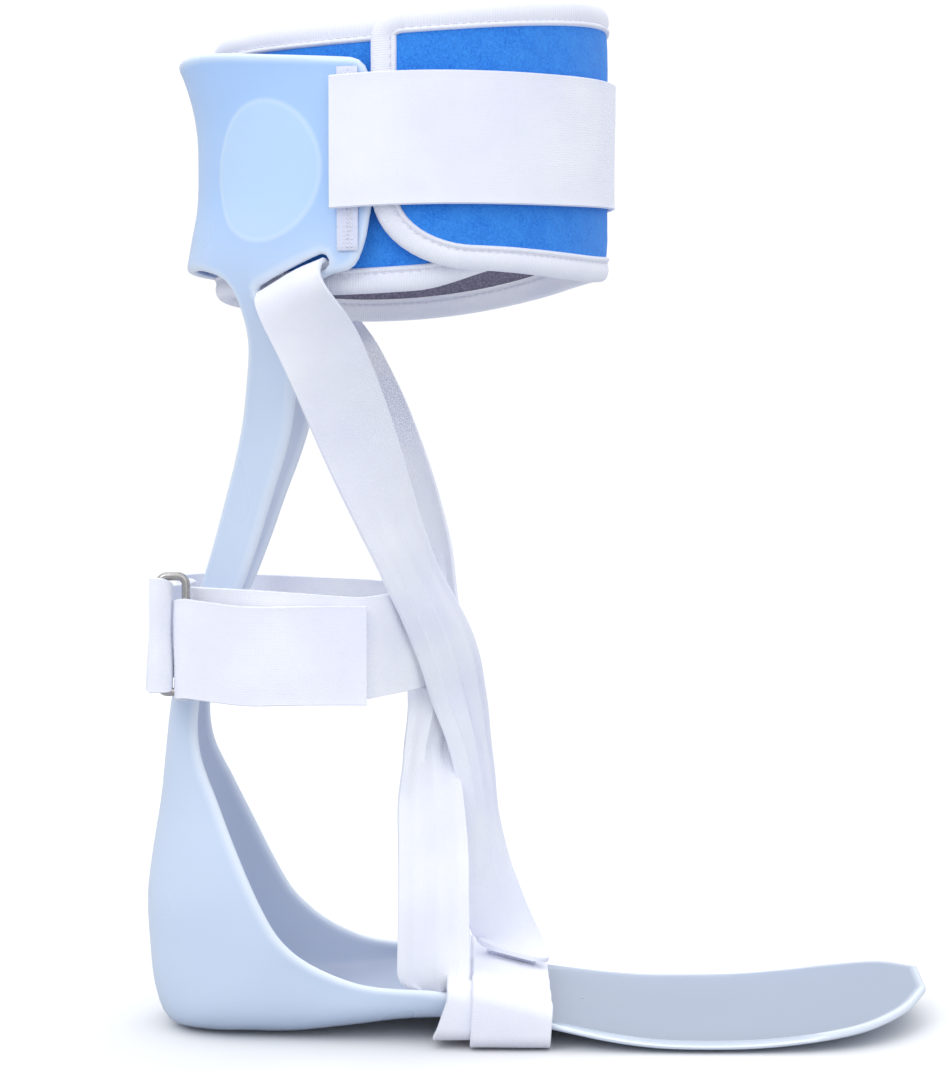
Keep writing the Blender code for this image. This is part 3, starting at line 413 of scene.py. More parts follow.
def swept_band(name, rows, half_height, closed=False):
    """A strap from rows of middle points, with half_height(share) on both sides of them, share running
    from -1 to 1 across. Its "cloth" attribute is millimetres along and across."""
    count, across = len(rows), len(rows[0])
    along = [0.0]
    for a, b in zip(rows, rows[1:]):
        along.append(along[-1] + (b[across // 2] - a[across // 2]).length)
    upper, lower, cloth = [], [], []
    for r in range(count):
        before = rows[(r - 1) % count if closed else max(r - 1, 0)]
        after = rows[(r + 1) % count if closed else min(r + 1, count - 1)]
        width = 0.0
        for c in range(across):
            left, right = rows[r][max(c - 1, 0)], rows[r][min(c + 1, across - 1)]
            normal = (after[c] - before[c]).cross(right - left).normalized()
            share = 2.0 * c / (across - 1) - 1.0
            width += (rows[r][c] - rows[r][c - 1]).length if c else 0.0
            upper.append(rows[r][c] + normal * half_height(share))
            lower.append(rows[r][c] - normal * half_height(share))
            cloth.append((along[r], width, 0.0))
    total = count * across
    faces = []
    for r in range(count if closed else count - 1):
        here, there = r * across, (r + 1) % count * across
        for c in range(across - 1):
            quad = [here + c, there + c, there + c + 1, here + c + 1]
            faces += [quad, [i + total for i in reversed(quad)]]
        faces.append([here, here + total, there + total, there])
        last = across - 1
        faces.append([there + last, there + last + total, here + last + total, here + last])
    for r in () if closed else (0, count - 1):
        for c in range(across - 1):
            a = r * across + c
            faces.append([a, a + 1, a + 1 + total, a + total])
    points = [frame_point(*p) for p in upper + lower]
    return new_piece(name, points, faces, {"cloth": cloth + cloth}, 40.0)


def grid_faces(rows, columns, first=0, close_rows=False, close_columns=False):
    """Quads between rows of points that are numbered row by row from first."""
    faces = []
    for r in range(rows if close_rows else rows - 1):
        here, there = first + r * columns, first + (r + 1) % rows * columns
        for c in range(columns if close_columns else columns - 1):
            after = (c + 1) % columns
            faces.append([here + c, here + after, there + after, there + c])
    return faces


def band_profile(thickness, selvedge=0.12):
    """Half the thickness across a strap: even, a little thicker along both edges, then rounded off."""
    rounding, lip_place, edge_share = 0.06, 0.09, 0.3

    def half(share):
        near = (1.0 - abs(share)) / rounding
        round_off = math.sqrt(max(0.0, 1.0 - max(0.0, 1.0 - near) ** 2))
        lip = selvedge * math.exp(-((1.0 - abs(share)) / lip_place - 1.0) ** 2)
        return 0.5 * thickness * (edge_share + (1.0 - edge_share) * round_off) + lip
    return half


def shares_across(count):
    """Places from -1 to 1, closer together near both edges."""
    return [math.sin(0.5 * math.pi * (2.0 * k / (count - 1) - 1.0)) for k in range(count)]


def wrinkle(x, y, z, size, height, seed):
    return height * noise.noise(Vector((x / size + seed, y / size, z / size)))


GATHER_NARROWING = 0.34
PLEAT_HEIGHT = 2.1
PLEAT_WAVES = 3.4
RIPPLE_SIZE = 16.0


def tape_rows(stations, width, step, across=15, seed=0.0, ripple=0.25, round_end=0.0):
    """Rows across a tape. A station is x, y, z, the direction across, how its middle bows out, and how
    much it is gathered: a gathered tape is narrower and pleated along its length, and one gathered less
    than nothing is pulled wide. The last corners are rounded by round_end."""
    full = [tuple(s) + (0.0,) * (10 - len(s)) for s in stations]
    path = smooth_path(full, step)
    left = [0.0]
    for a, b in zip(path[::-1], path[-2::-1]):
        left.append(left[-1] + math.dist(a[:3], b[:3]))
    left.reverse()
    rows = []
    for i, s in enumerate(path):
        before, after = path[max(i - 1, 0)], path[min(i + 1, len(path) - 1)]
        side = Vector(s[3:6]).normalized()
        travel = Vector(after[:3]) - Vector(before[:3])
        normal = travel.cross(side).normalized()
        pleat_height = PLEAT_HEIGHT * max(0.0, s[9])
        half = 0.5 * width * (1.0 - GATHER_NARROWING * s[9])
        short = max(0.0, round_end - left[i])
        half -= round_end - math.sqrt(max(0.0, round_end ** 2 - short ** 2))
        row = []
        for share in shares_across(across):
            p = Vector(s[:3]) + half * share * side - Vector(s[6:9]) * share ** 2
            pleat = pleat_height * math.cos(PLEAT_WAVES * math.pi * share + 0.6 * seed)
            row.append(p + normal * (pleat + wrinkle(*p, RIPPLE_SIZE, ripple, seed)))
        rows.append(row)
    return rows


def wire_loop(name, path, radius):
    """A closed round wire along a path of drawing points."""
    curve = bpy.data.curves.new(name, "CURVE")
    curve.dimensions = "3D"
    curve.bevel_depth = radius * MM
    curve.bevel_resolution = 6
    curve.use_fill_caps = False
    spline = curve.splines.new("POLY")
    spline.points.add(len(path) - 1)
    for slot, p in zip(spline.points, path):
        slot.co = (*frame_point(*p), 1.0)
    spline.use_cyclic_u = True
    item = bpy.data.objects.new(name, curve)
    bpy.context.scene.collection.objects.link(item)
    mesh = bpy.data.meshes.new_from_object(item.evaluated_get(bpy.context.evaluated_depsgraph_get()))
    bpy.data.objects.remove(item)
    work = bmesh.new()
    work.from_mesh(mesh)
    bmesh.ops.remove_doubles(work, verts=work.verts, dist=1e-6)
    work.to_mesh(mesh)
    work.free()
    mesh.name = name
    mesh.shade_smooth()
    piece = bpy.data.objects.new(name, mesh)
    bpy.context.scene.collection.objects.link(piece)
    return piece


STITCH_SIDES = 5
STITCH_RINGS = 5
STITCH_RISE = 0.32            # how high a stitch bows up over the cloth
STITCH_DIP = 0.14             # and how deep its ends go in


def stitch_row(name, points, normals, pitch=2.6, length=1.7, radius=0.22):
    """Separate stitches along a line: each is a short bowed thread that dips in at both ends."""
    line = [Vector(p) for p in points]
    travelled = [0.0]
    for a, b in zip(line, line[1:]):
        travelled.append(travelled[-1] + (b - a).length)

    def at(s):
        for i in range(len(line) - 1):
            if s <= travelled[i + 1]:
                t = (s - travelled[i]) / max(travelled[i + 1] - travelled[i], 1e-9)
                return line[i].lerp(line[i + 1], t), normals[i].lerp(normals[i + 1], t)
        return line[-1], normals[-1]

    vertices, faces = [], []
    for k in range(int(travelled[-1] / pitch)):
        start = (k + 0.2) * pitch
        first = len(vertices)
        for step in range(STITCH_RINGS):
            share = step / (STITCH_RINGS - 1)
            here, normal = at(start + length * share)
            ahead, _ = at(start + length * share + 0.05)
            side = (ahead - here).normalized().cross(normal).normalized()
            bow = math.sin(math.pi * share)
            thin = radius * (0.55 + 0.45 * bow)
            for n in range(STITCH_SIDES):
                turn = 2 * math.pi * n / STITCH_SIDES
                vertices.append(here + normal * (STITCH_RISE * bow - STITCH_DIP + thin * math.sin(turn))
                                + side * thin * math.cos(turn))
        faces += grid_faces(STITCH_RINGS, STITCH_SIDES, first, close_columns=True)
        last = first + (STITCH_RINGS - 1) * STITCH_SIDES
        faces.append([first + n for n in reversed(range(STITCH_SIDES))])
        faces.append([last + n for n in range(STITCH_SIDES)])
    return new_piece(name, [frame_point(*v) for v in vertices], faces)


# --- materials -------------------------------------------------------------------------------------

class Nodes:
    """A small helper that builds a Principled material's node tree."""

    def __init__(self, name, colour, roughness, metallic=0.0, **settings):
        self.material = bpy.data.materials.new(name)
        self.material.use_nodes = True
        self.tree = self.material.node_tree
        self.shader = self.tree.nodes["Principled BSDF"]
        self.set("Base Color", (*colour, 1.0))
        self.set("Roughness", roughness)
        self.set("Metallic", metallic)
        for socket, value in settings.items():
            self.set(socket.replace("_", " "), value)
        self.material.diffuse_color = (*colour, 1.0)

    def put(self, socket, value):
        """Links a node's output to the socket, or gives the socket a value."""
        if isinstance(value, bpy.types.NodeSocket):
            self.tree.links.new(value, socket)
        else:
            socket.default_value = value

    def set(self, socket, value):
        self.put(self.shader.inputs[socket], value)

    def add(self, kind, **inputs):
        node = self.tree.nodes.new(kind)
        for key, value in inputs.items():
            self.put(node.inputs[key.replace("_", " ")], value)
        return node

    def place(self):
        """Object coordinates in millimetres."""
        where = self.add("ShaderNodeTexCoord").outputs["Object"]
        scaled = self.add("ShaderNodeVectorMath", Vector=where)
        scaled.operation = "SCALE"
        self.put(scaled.inputs["Scale"], 1.0 / MM)
        return scaled.outputs["Vector"]

    def attribute(self, name, output="Fac"):
        node = self.add("ShaderNodeAttribute")
        node.attribute_name = name
        return node.outputs[output]

    def noise(self, vector, scale, detail, roughness):
        return self.add("ShaderNodeTexNoise", Vector=vector, Scale=scale, Detail=detail,
                        Roughness=roughness).outputs["Fac"]

    def math(self, operation, a, b=0.0, clamp=False):
        node = self.add("ShaderNodeMath")
        node.operation = operation
        node.use_clamp = clamp
        self.put(node.inputs[0], a)
        self.put(node.inputs[1], b)
        return node.outputs[0]

    def spread(self, value, low, high, to_low=0.0, to_high=1.0):
        """The value, stretched from low..high to to_low..to_high."""
        return self.add("ShaderNodeMapRange", Value=value, From_Min=low, From_Max=high, To_Min=to_low,
                        To_Max=to_high).outputs["Result"]

    def mixed(self, share, *colours):
        node = self.add("ShaderNodeMix")
        node.data_type = "RGBA"
        self.put(node.inputs[0], share)
        for socket, colour in zip(node.inputs[6:8], colours):
            self.put(socket, (*colour, 1.0) if isinstance(colour, tuple) else colour)
        return node.outputs[2]

    def bump(self, height, distance, strength, before=None):
        node = self.add("ShaderNodeBump", Height=height, Strength=strength, Distance=distance * MM)
        if before is not None:
            self.put(node.inputs["Normal"], before)
        return node.outputs["Normal"]


def plastic_material():
    """Milky polypropylene with painted light: bluer over the cuff, where the blue pad behind it is painted
    showing through; greyer inside by painted shade, darker over the footplate and lighter in the heel;
    paler along its edges by a painted highlight; and the round fastener painted showing through the wing,
    with a painted highlight on its rim."""
    n = Nodes("polypropylene", (0.62, 0.73, 0.90), 0.28, Subsurface_Weight=0.15,
              Subsurface_Radius=(1.0, 1.1, 1.3), Subsurface_Scale=0.004, IOR=1.49, Coat_Weight=0.25,
              Coat_Roughness=0.12)
    where = n.place()
    cloudy = n.noise(where, 0.02, 1.0, 0.5)
    parts = n.add("ShaderNodeSeparateXYZ", Vector=where).outputs
    base = n.mixed(cloudy, (0.56, 0.66, 0.83), (0.65, 0.75, 0.91))
    # painted show-through: the shell turns bluer over the cuff, where the blue pad lies behind it
    base = n.mixed(n.spread(parts["Z"], 225.0, 262.0), base, (0.43, 0.64, 1.0))
    # painted shade: the inside faces are greyer, darker over the footplate and lighter in the heel
    inside_face = n.math("SUBTRACT", 1.0, n.attribute("outside"), clamp=True)
    painted_inside_shade = n.mixed(n.spread(parts["X"], -60.0, 5.0), (0.57, 0.63, 0.76), (0.31, 0.37, 0.49))
    base = n.mixed(inside_face, base, painted_inside_shade)
    # painted highlight: the shell is paler along its edges
    edge = n.spread(n.attribute("edge"), 0.4, 3.2, 1.0, 0.0)
    base = n.mixed(n.math("MULTIPLY", edge, 0.7), base, (0.84, 0.90, 0.98))
    # painted show-through of the round fastener over the disc, and a painted highlight on the disc's raised
    # rim
    disc = n.attribute("disc")
    off_ring = n.math("ABSOLUTE", n.math("SUBTRACT", disc, DISC_RADIUS))
    ring = n.spread(off_ring, 0.2, 1.2, 1.0, 0.0)
    within = n.spread(disc, DISC_RADIUS - 0.8, DISC_RADIUS + 0.2, 1.0, 0.0)
    base = n.mixed(n.math("MULTIPLY", within, 0.55), base, (0.60, 0.79, 1.0))
    base = n.mixed(n.math("MULTIPLY", ring, 0.35), base, (0.80, 0.91, 1.0))
    n.set("Base Color", base)
    scuff = n.noise(where, 0.03, 1.0, 0.5)
    n.set("Roughness", n.spread(scuff, 0.0, 1.0, 0.24, 0.34))
    return n.material


def loop_cloth_material():
    """Brushed blue loop fabric: short tangled pile with lighter fibres."""
    n = Nodes("loop_cloth", (0.02, 0.20, 0.80), 0.95, Sheen_Weight=0.35, Sheen_Roughness=0.5,
              Sheen_Tint=(0.45, 0.68, 1.0, 1.0), Specular_IOR_Level=0.2)
    where = n.place()
    fluff = n.noise(where, 1.5, 5.0, 0.75)
    patch = n.noise(where, 0.16, 3.0, 0.6)
    base = n.mixed(n.spread(fluff, 0.32, 0.68), (0.010, 0.14, 0.66), (0.055, 0.34, 0.99))
    base = n.mixed(n.spread(patch, 0.35, 0.7, 0.0, 0.30), base, (0.08, 0.40, 1.0))
    n.set("Base Color", base)
    coarse = n.noise(where, 0.55, 3.0, 0.6)
    n.set("Normal", n.bump(fluff, 0.5, 0.7, n.bump(coarse, 0.5, 0.3)))
    return n.material


def lining_material():
    """Grey knitted lining."""
    n = Nodes("pad_lining", (0.35, 0.34, 0.42), 0.9, Sheen_Weight=0.2, Specular_IOR_Level=0.2)
    where = n.place()
    knit = n.add("ShaderNodeTexVoronoi", Vector=where, Scale=1.1).outputs["Distance"]
    base = n.mixed(n.spread(knit, 0.0, 0.7), (0.30, 0.29, 0.38), (0.17, 0.16, 0.23))
    n.set("Base Color", base)
    n.set("Normal", n.bump(knit, 0.35, 0.6))
    return n.material


def binding_material():
    """Soft white knitted binding tape with a fine rib."""
    n = Nodes("binding_tape", (0.84, 0.84, 0.92), 0.88, Sheen_Weight=0.25, Specular_IOR_Level=0.25)
    rib = n.add("ShaderNodeTexWave", Vector=n.attribute("cloth", "Vector"), Scale=0.42, Distortion=0.6,
                Detail=2.0).outputs["Fac"]
    fuzz = n.noise(n.place(), 1.8, 4.0, 0.7)
    shade = n.noise(n.place(), 0.05, 2.0, 0.5)
    base = n.mixed(n.spread(shade, 0.3, 0.7), (0.86, 0.87, 0.97), (0.92, 0.93, 0.99))
    # painted shade: darker in the rib's valleys
    base = n.mixed(n.spread(rib, 0.0, 1.0, 0.10, 0.0), base, (0.50, 0.50, 0.62))
    n.set("Base Color", base)
    n.set("Normal", n.bump(fuzz, 0.12, 0.5, n.bump(rib, 0.14, 0.6)))
    return n.material


def webbing_material(name, pale, shade, pile=0.4):
    """White woven webbing: crossing ribs under a thin brushed pile."""
    n = Nodes(name, pale, 0.85, Sheen_Weight=0.25, Sheen_Roughness=0.4, Specular_IOR_Level=0.25)
    cloth = n.attribute("cloth", "Vector")
    along = n.add("ShaderNodeTexWave", Vector=cloth, Scale=0.50, Distortion=1.2, Detail=2.0)
    across = n.add("ShaderNodeTexWave", Vector=cloth, Scale=0.44, Distortion=1.2, Detail=2.0)
    across.bands_direction = "Y"
    weave = n.math("MULTIPLY", along.outputs["Fac"], across.outputs["Fac"])
    where = n.place()
    fuzz = n.noise(where, 1.7, 4.0, 0.75)
    broad = n.noise(where, 0.035, 3.0, 0.55)
    base = n.mixed(n.spread(broad, 0.32, 0.68), shade, pale)
    # painted shade: darker in the weave's valleys
    base = n.mixed(n.spread(weave, 0.0, 0.6, 0.06, 0.0), base, tuple(0.7 * c for c in shade))
    n.set("Base Color", base)
    n.set("Roughness", n.spread(fuzz, 0.2, 0.8, 0.75, 0.95))
    n.set("Normal", n.bump(fuzz, 0.20, pile, n.bump(weave, 0.12, 0.45)))
    return n.material


def hook_material():
    """Hook tape: rows of tiny stiff hooks on a woven ground."""
    n = Nodes("hook_tape", (0.72, 0.74, 0.84), 0.6, Specular_IOR_Level=0.4)
    dots = n.add("ShaderNodeTexVoronoi", Vector=n.place(), Scale=0.85, Randomness=0.25)
    tips = n.spread(dots.outputs["Distance"], 0.05, 0.42, 1.0, 0.0)
    # painted shade: darker on the ground between the raised hooks
    base = n.mixed(tips, (0.70, 0.73, 0.88), (0.93, 0.95, 1.0))
    n.set("Base Color", base)
    n.set("Normal", n.bump(tips, 0.5, 0.8))
    return n.material


def metal_material(name, colour, roughness):
    """Plated wire or rivet metal with rubbed patches."""
    n = Nodes(name, colour, roughness, 1.0)
    where = n.place()
    rubbed = n.noise(where, 0.7, 4.0, 0.6)
    base = n.mixed(n.spread(rubbed, 0.3, 0.75), tuple(0.72 * c for c in colour), colour)
    n.set("Base Color", base)
    n.set("Roughness", n.spread(rubbed, 0.3, 0.7, roughness, roughness + 0.18))
    n.set("Normal", n.bump(n.noise(where, 3.0, 3.0, 0.7), 0.02, 0.5))
    return n.material


def thread_material():
    """Twisted white thread."""
    n = Nodes("stitch_thread", (0.86, 0.86, 0.94), 0.7, Sheen_Weight=0.3)
    twist = n.noise(n.place(), 2.6, 2.0, 0.5)
    n.set("Base Color", n.mixed(n.spread(twist, 0.3, 0.7), (0.72, 0.72, 0.84), (0.93, 0.93, 0.98)))
    n.set("Normal", n.bump(twist, 0.1, 0.5))
    return n.material


def floor_material():
    """A white sweep that throws only a little light back up."""
    n = Nodes("studio_floor", (0.85, 0.85, 0.855), 0.75, Specular_IOR_Level=0.1)
    seen = n.add("ShaderNodeLightPath").outputs["Is Camera Ray"]
    n.set("Base Color", n.mixed(seen, (0.50, 0.51, 0.54), (0.85, 0.85, 0.855)))
    return n.material


def paint(item, *materials):
    item.data.materials.clear()
    for material in materials:
        item.data.materials.append(material)


def belongs(item, material, nodes=(), body="root", blend=False):
    """Paints a piece, hides the nodes it stands for, and fixes it to its body. With blend
    its placement is baked into its mesh and it stays on the root from the calf hinge, not fixed to the
    body."""
    if material is not None:
        paint(item, material)
    if nodes:
        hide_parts(*nodes)
    if blend:
        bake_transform(item)
    else:
        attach(item, body)
    return item


# --- the moulded shell -----------------------------------------------------------------------------

def spine():
    """The shell's stations, interpolated: (distance from the top, station)."""
    fine = []
    for i in range(len(STATIONS) - 1):
        a = STATIONS[max(i - 1, 0)]
        b, c = STATIONS[i], STATIONS[i + 1]
        d = STATIONS[min(i + 2, len(STATIONS) - 1)]
        fine += [catmull(a, b, c, d, k / SPINE_STEPS) for k in range(SPINE_STEPS)]
    fine.append(STATIONS[-1])
    travelled = [0.0]
    for a, b in zip(fine, fine[1:]):
        travelled.append(travelled[-1] + math.dist(a[:2], b[:2]))
    return list(zip(travelled, fine))


def station_at(v):
    """The station at the distance v down the spine."""
    low, high = 0, len(SPINE) - 1
    while high - low > 1:
        middle = (low + high) // 2
        if SPINE[middle][0] <= v:
            low = middle
        else:
            high = middle
    (v0, a), (v1, b) = SPINE[low], SPINE[high]
    return mix(a, b, min(1.0, max(0.0, (v - v0) / (v1 - v0))))


def down_to(z):
    """How far down the spine the height z is."""
    for (v0, a), (v1, b) in zip(SPINE, SPINE[1:]):
        if a[1] >= z > b[1]:
            return v0 + (v1 - v0) * (a[1] - z) / (a[1] - b[1])
    return 0.0


def along_to(x):
    """How far down the spine the footplate's x is."""
    for (v0, a), (v1, b) in reversed(list(zip(SPINE, SPINE[1:]))):
        if a[0] < x <= b[0]:
            return v0 + (v1 - v0) * (x - a[0]) / (b[0] - a[0])
    return SPINE[-1][0]


def section(station, medial):
    """Half a section as (length so far, depth share, width share), by steps of its angle."""
    x, z, edge_x, edge_z, half, square, medial_rise = station
    depth = math.hypot(edge_x - x, edge_z + medial * medial_rise - z)
    table = [(0.0, 0.0, 0.0)]
    for k in range(1, SECTION_STEPS + 1):
        angle = 0.5 * math.pi * smooth_step(k / SECTION_STEPS)
        deep = 1.0 - abs(math.cos(angle)) ** (2.0 / square) if k < SECTION_STEPS else 1.0
        wide = math.sin(angle) ** (2.0 / square)
        length = table[-1][0] + math.hypot((deep - table[-1][1]) * depth, (wide - table[-1][2]) * half)
        table.append((length, deep, wide))
    return table


def half_girth(v):
    return section(station_at(v), False)[-1][0]


def shell_point(u, v):
    """The shell's outside, u across the section (outer side of the foot negative), v down the spine."""
    station = station_at(v)
    x, z, edge_x, edge_z, half, _, medial_rise = station
    medial = u > 0
    table = section(station, medial)
    girth = table[-1][0] if not medial or not medial_rise else half_girth(v)
    target = min(abs(u) / girth, 1.0) * table[-1][0]
    for (s0, *a), (s1, *b) in zip(table, table[1:]):
        if target <= s1:
            break
    deep, wide = mix(a, b, (target - s0) / (s1 - s0))
    rise = edge_z + (medial_rise if medial else 0.0) - z
    return (x + deep * (edge_x - x), math.copysign(wide * half, u), max(0.0, z + deep * rise - SOLE_FLAT))


def shell_frame(u, v):
    """A point on the shell's outside with its directions: across, down the spine, outward."""
    here = Vector(shell_point(u, v))
    across = (Vector(shell_point(u + 1.0, v)) - Vector(shell_point(u - 1.0, v))).normalized()
    down = (Vector(shell_point(u, v + 1.0)) - Vector(shell_point(u, v - 1.0))).normalized()
    return here, across, down, across.cross(down).normalized()


def on_side(side, share, v):
    """A place on the shell's pattern, at a share of the half girth."""
    return (side * share * half_girth(v), v)


def side_edge(side, corners, place):
    return rounded([(*on_side(side, share, place(where)), cut) for share, where, cut in corners])


def foot_edge(side):
    start, end = down_to(NECK_EDGE_Z), along_to(TOE_X)
    count = round((end - start) / SHELL_STEP)
    return [on_side(side, 1.0, start + (end - start) * k / count) for k in range(1, count)]


def shell_outline():
    loop = []
    for side, toe in ((1, TOE_INNER), (-1, TOE_OUTER)):
        edge = side_edge(side, CUP_EDGE, down_to) + foot_edge(side) + side_edge(side, toe, along_to)
        loop += edge if side > 0 else edge[::-1]
    return resample(loop + loop[:1], OUTLINE_STEP)[:-1]


def opening_outline():
    inner = side_edge(1, BACK_OPENING, down_to)
    outer = side_edge(-1, BACK_OPENING, down_to)
    return resample(inner + outer[::-1][1:], OUTLINE_STEP)[:-1]


def slot_direction(side):
    return (side * math.cos(SLOT_SLANT), -math.sin(SLOT_SLANT))


def slot_outline(side):
    cu, cv = on_side(side, SLOT_SHARE, down_to(SLOT_Z))
    along = slot_direction(side)
    reach, radius = 0.5 * (SLOT_LENGTH - SLOT_WIDTH), 0.5 * SLOT_WIDTH
    heading = math.atan2(along[1], along[0])
    loop = []
    for end in (1, -1):
        for k in range(9):
            angle = heading + (0 if end > 0 else math.pi) + math.radians(-90 + 22.5 * k)
            loop.append((cu + end * reach * along[0] + radius * math.cos(angle),
                         cv + end * reach * along[1] + radius * math.sin(angle)))
    return resample(loop + loop[:1], 1.6)[:-1]


def edge_drop(d):
    """How far a rounded edge falls back at the distance d from it."""
    radius = 0.5 * SHELL_THICKNESS
    return radius - math.sqrt(max(0.0, radius ** 2 - max(0.0, radius - d) ** 2))


def edge_bead(d, v):
    """A low rounded rib just inside the shell's edge, strongest along the uprights."""
    on_upright = smooth_step((v - 70.0) / 20.0) * smooth_step((215.0 - v) / 40.0)
    return (0.18 + 0.42 * on_upright) * math.exp(-((d - 2.3) / 1.1) ** 2)


def disc_distance(u, v):
    """Distance from the middle of the round fastener on the same side."""
    x, y, z = shell_point(u, v)
    return math.dist((x, abs(y), z), DISC_MIDDLE)


def disc_step(u, v):
    """The wing stands out by a hair over the round fastener, with a slightly higher rim."""
    d = disc_distance(u, v)
    plateau = 0.22 * smooth_step((DISC_RADIUS + 0.6 - d) / 1.4)
    return plateau + 0.16 * math.exp(-((d - DISC_RADIUS + 0.6) / 0.7) ** 2)


EDGE_RINGS = (0.12, 0.45, 1.0, 1.7, 2.5, 3.6)     # distances of the rows of points that round its edge


def build_shell(plastic):
    loops = [shell_outline(), opening_outline(), slot_outline(-1), slot_outline(1)]

    def outer(d, u, v):
        return edge_bead(d, v) - edge_drop(d) + disc_step(u, v)

    def inner(d, u, v):
        return edge_drop(d) - SHELL_THICKNESS

    item = thick_panel("shell_moulding", loops, shell_point, outer, inner, SHELL_STEP, EDGE_RINGS,
                       {"disc": disc_distance})
    belongs(item, plastic, ["shell"])


# --- the calf pad and its flap ---------------------------------------------------------------------

def polar(angle, radius, z):
    turn = math.radians(angle)
    return (CALF_X + radius * math.cos(turn), radius * math.sin(turn), z)


def pad_middle(angle):
    turn = math.radians(angle)
    return 276.5 + 4.75 * math.cos(turn) - 1.6 * math.sin(turn) + 2.75 * math.cos(2 * turn)


def pad_low(angle):
    """The lower edge: the flap hangs a little low in front, and the pad's end is tucked up under it."""
    lift = 6.0 * smooth_step(-angle / 90.0) + 4.5 * smooth_step((angle - 274.0) / 28.0)
    sag = 3.8 * math.exp(-((angle + 32.0) / 32.0) ** 2)
    return pad_middle(angle) - 41.0 - 0.75 * math.cos(math.radians(angle)) + lift - sag


def pad_high(angle):
    return pad_middle(angle) + 41.0 + 0.75 * math.cos(math.radians(angle))


def pad_radius(angle):
    lift = FLAP_LIFT * smooth_step((30.0 - angle) / 75.0)
    return PAD_INNER + 0.5 * PAD_THICKNESS + lift


class Pad:
    """One length of the cuff, from the hinge to its free end. Its flat pattern is a along, from 0 at
    the hinge, and h from -PAD_HALF to PAD_HALF, with round corners at the free end."""

    def __init__(self, end, low_corner, high_corner):
        self.way = 1.0 if end > HINGE_ANGLE else -1.0
        self.length = abs(end - HINGE_ANGLE) * PAD_SCALE
        self.low_corner, self.high_corner = low_corner, high_corner

    def angle(self, a):
        return HINGE_ANGLE + self.way * a / PAD_SCALE

    def place(self, a, h, out=0.0):
        angle = self.angle(a)
        radius = pad_radius(angle) if self.way < 0 else PAD_INNER + 0.5 * PAD_THICKNESS
        low, high = pad_low(angle), pad_high(angle)
        z = low + (high - low) * (h + PAD_HALF) / (2.0 * PAD_HALF)
        soft = wrinkle(angle * 0.6, h * 0.4, 0.0, 9.0, 0.35, 3.0 + self.way)
        return polar(angle, radius + out + soft, z)

    def corner(self, size, side, inset, along):
        """Points round a corner of the free end, from the long edge on to the end's own edge."""
        turns = [math.radians(90.0 - 7.5 * k) for k in range(13)]
        return [(self.length - size + (size - along) * math.cos(t),
                 side * (PAD_HALF - size + (size - inset) * math.sin(t))) for t in turns]

    def rim(self, inset):
        """Points at the inset from the edge, along the top, round the end and back along the bottom.
        Every inset has the same number of points."""
        along = inset * PAD_INNER / pad_radius(self.angle(self.length)) if self.way < 0 else inset
        upper = self.corner(self.high_corner, 1.0, inset, along)
        lower = self.corner(self.low_corner, -1.0, inset, along)[::-1]
        top_end, low_end = self.length - self.high_corner, self.length - self.low_corner
        top = [(top_end * k / 60, PAD_HALF - inset) for k in range(60)]
        down = [mix(upper[-1], lower[0], k / 16) for k in range(1, 16)]
        bottom = [(low_end * (1.0 - k / 60), inset - PAD_HALF) for k in range(1, 61)]
        return top + upper + down + lower + bottom


# The binding's section: inset from the edge and height from the pad's middle, round the outside face
BINDING_SECTION = (
    (-0.1, 0.0), (0.15, 1.1), (0.7, 1.95), (1.7, 2.6), (3.0, 2.95), (4.4, 2.95), (5.4, 2.65), (5.95, 2.35),
    (6.2, 2.75), (6.65, 3.25), (7.2, 3.2), (7.55, 2.7), (7.7, 2.2),
)


def build_binding(name, pad, nodes, body, cloth):
    section_points = list(BINDING_SECTION) + [(i, -h) for i, h in reversed(BINDING_SECTION[1:])]
    rims = [pad.rim(max(0.0, inset)) for inset, _ in section_points]
    count, around = len(rims[0]), len(section_points)
    vertices, marks, travelled = [], [], 0.0
    for r in range(count):
        travelled += math.dist(rims[3][r], rims[3][r - 1]) if r else 0.0
        for (inset, height), rim in zip(section_points, rims):
            a, h = rim[r]
            puff = 0.25 * math.sin(travelled * 0.55) * smooth_step((abs(height) - 1.0) / 2.0)
            vertices.append(frame_point(*pad.place(a, h, height * (1.0 + 0.06 * puff))))
            marks.append((travelled, inset, 0.0))
    faces = grid_faces(count, around, close_columns=True)
    faces += [list(range(around)), list(reversed(range((count - 1) * around, count * around)))]
    item = new_piece(name, vertices, faces, {"cloth": marks}, 70.0)
    belongs(item, cloth, nodes, body, blend=body != "root")


def build_foam(name, pad, nodes, body, materials):
    seam = pad.rim(BINDING_WIDTH - 0.2)
    loop = resample(seam + seam[:1], 2.6)[:-1]

    def puffed(d):
        return PAD_PUFF * (1.0 - math.exp(-d / 3.0))

    def outer(d, a, h):
        return PAD_FACE + puffed(d) + 0.12 * noise.noise(Vector((a / 5.0, h / 5.0, 1.0)))

    def inner(d, a, h):
        return -PAD_FACE - puffed(d)

    item = thick_panel(name, [loop], pad.place, outer, inner, 3.2, (0.7, 1.8))
    paint(item, *materials)
    side = item.data.attributes["outside"].data
    for face in item.data.polygons:
        face.material_index = 0 if min(side[i].value for i in face.vertices) > 0.5 else 1
    belongs(item, None, nodes, body, blend=body != "root")


SEAM_INSET = 5.85             # where the seam's stitches run, from the edge and from the pad's middle
SEAM_HEIGHT = 2.55


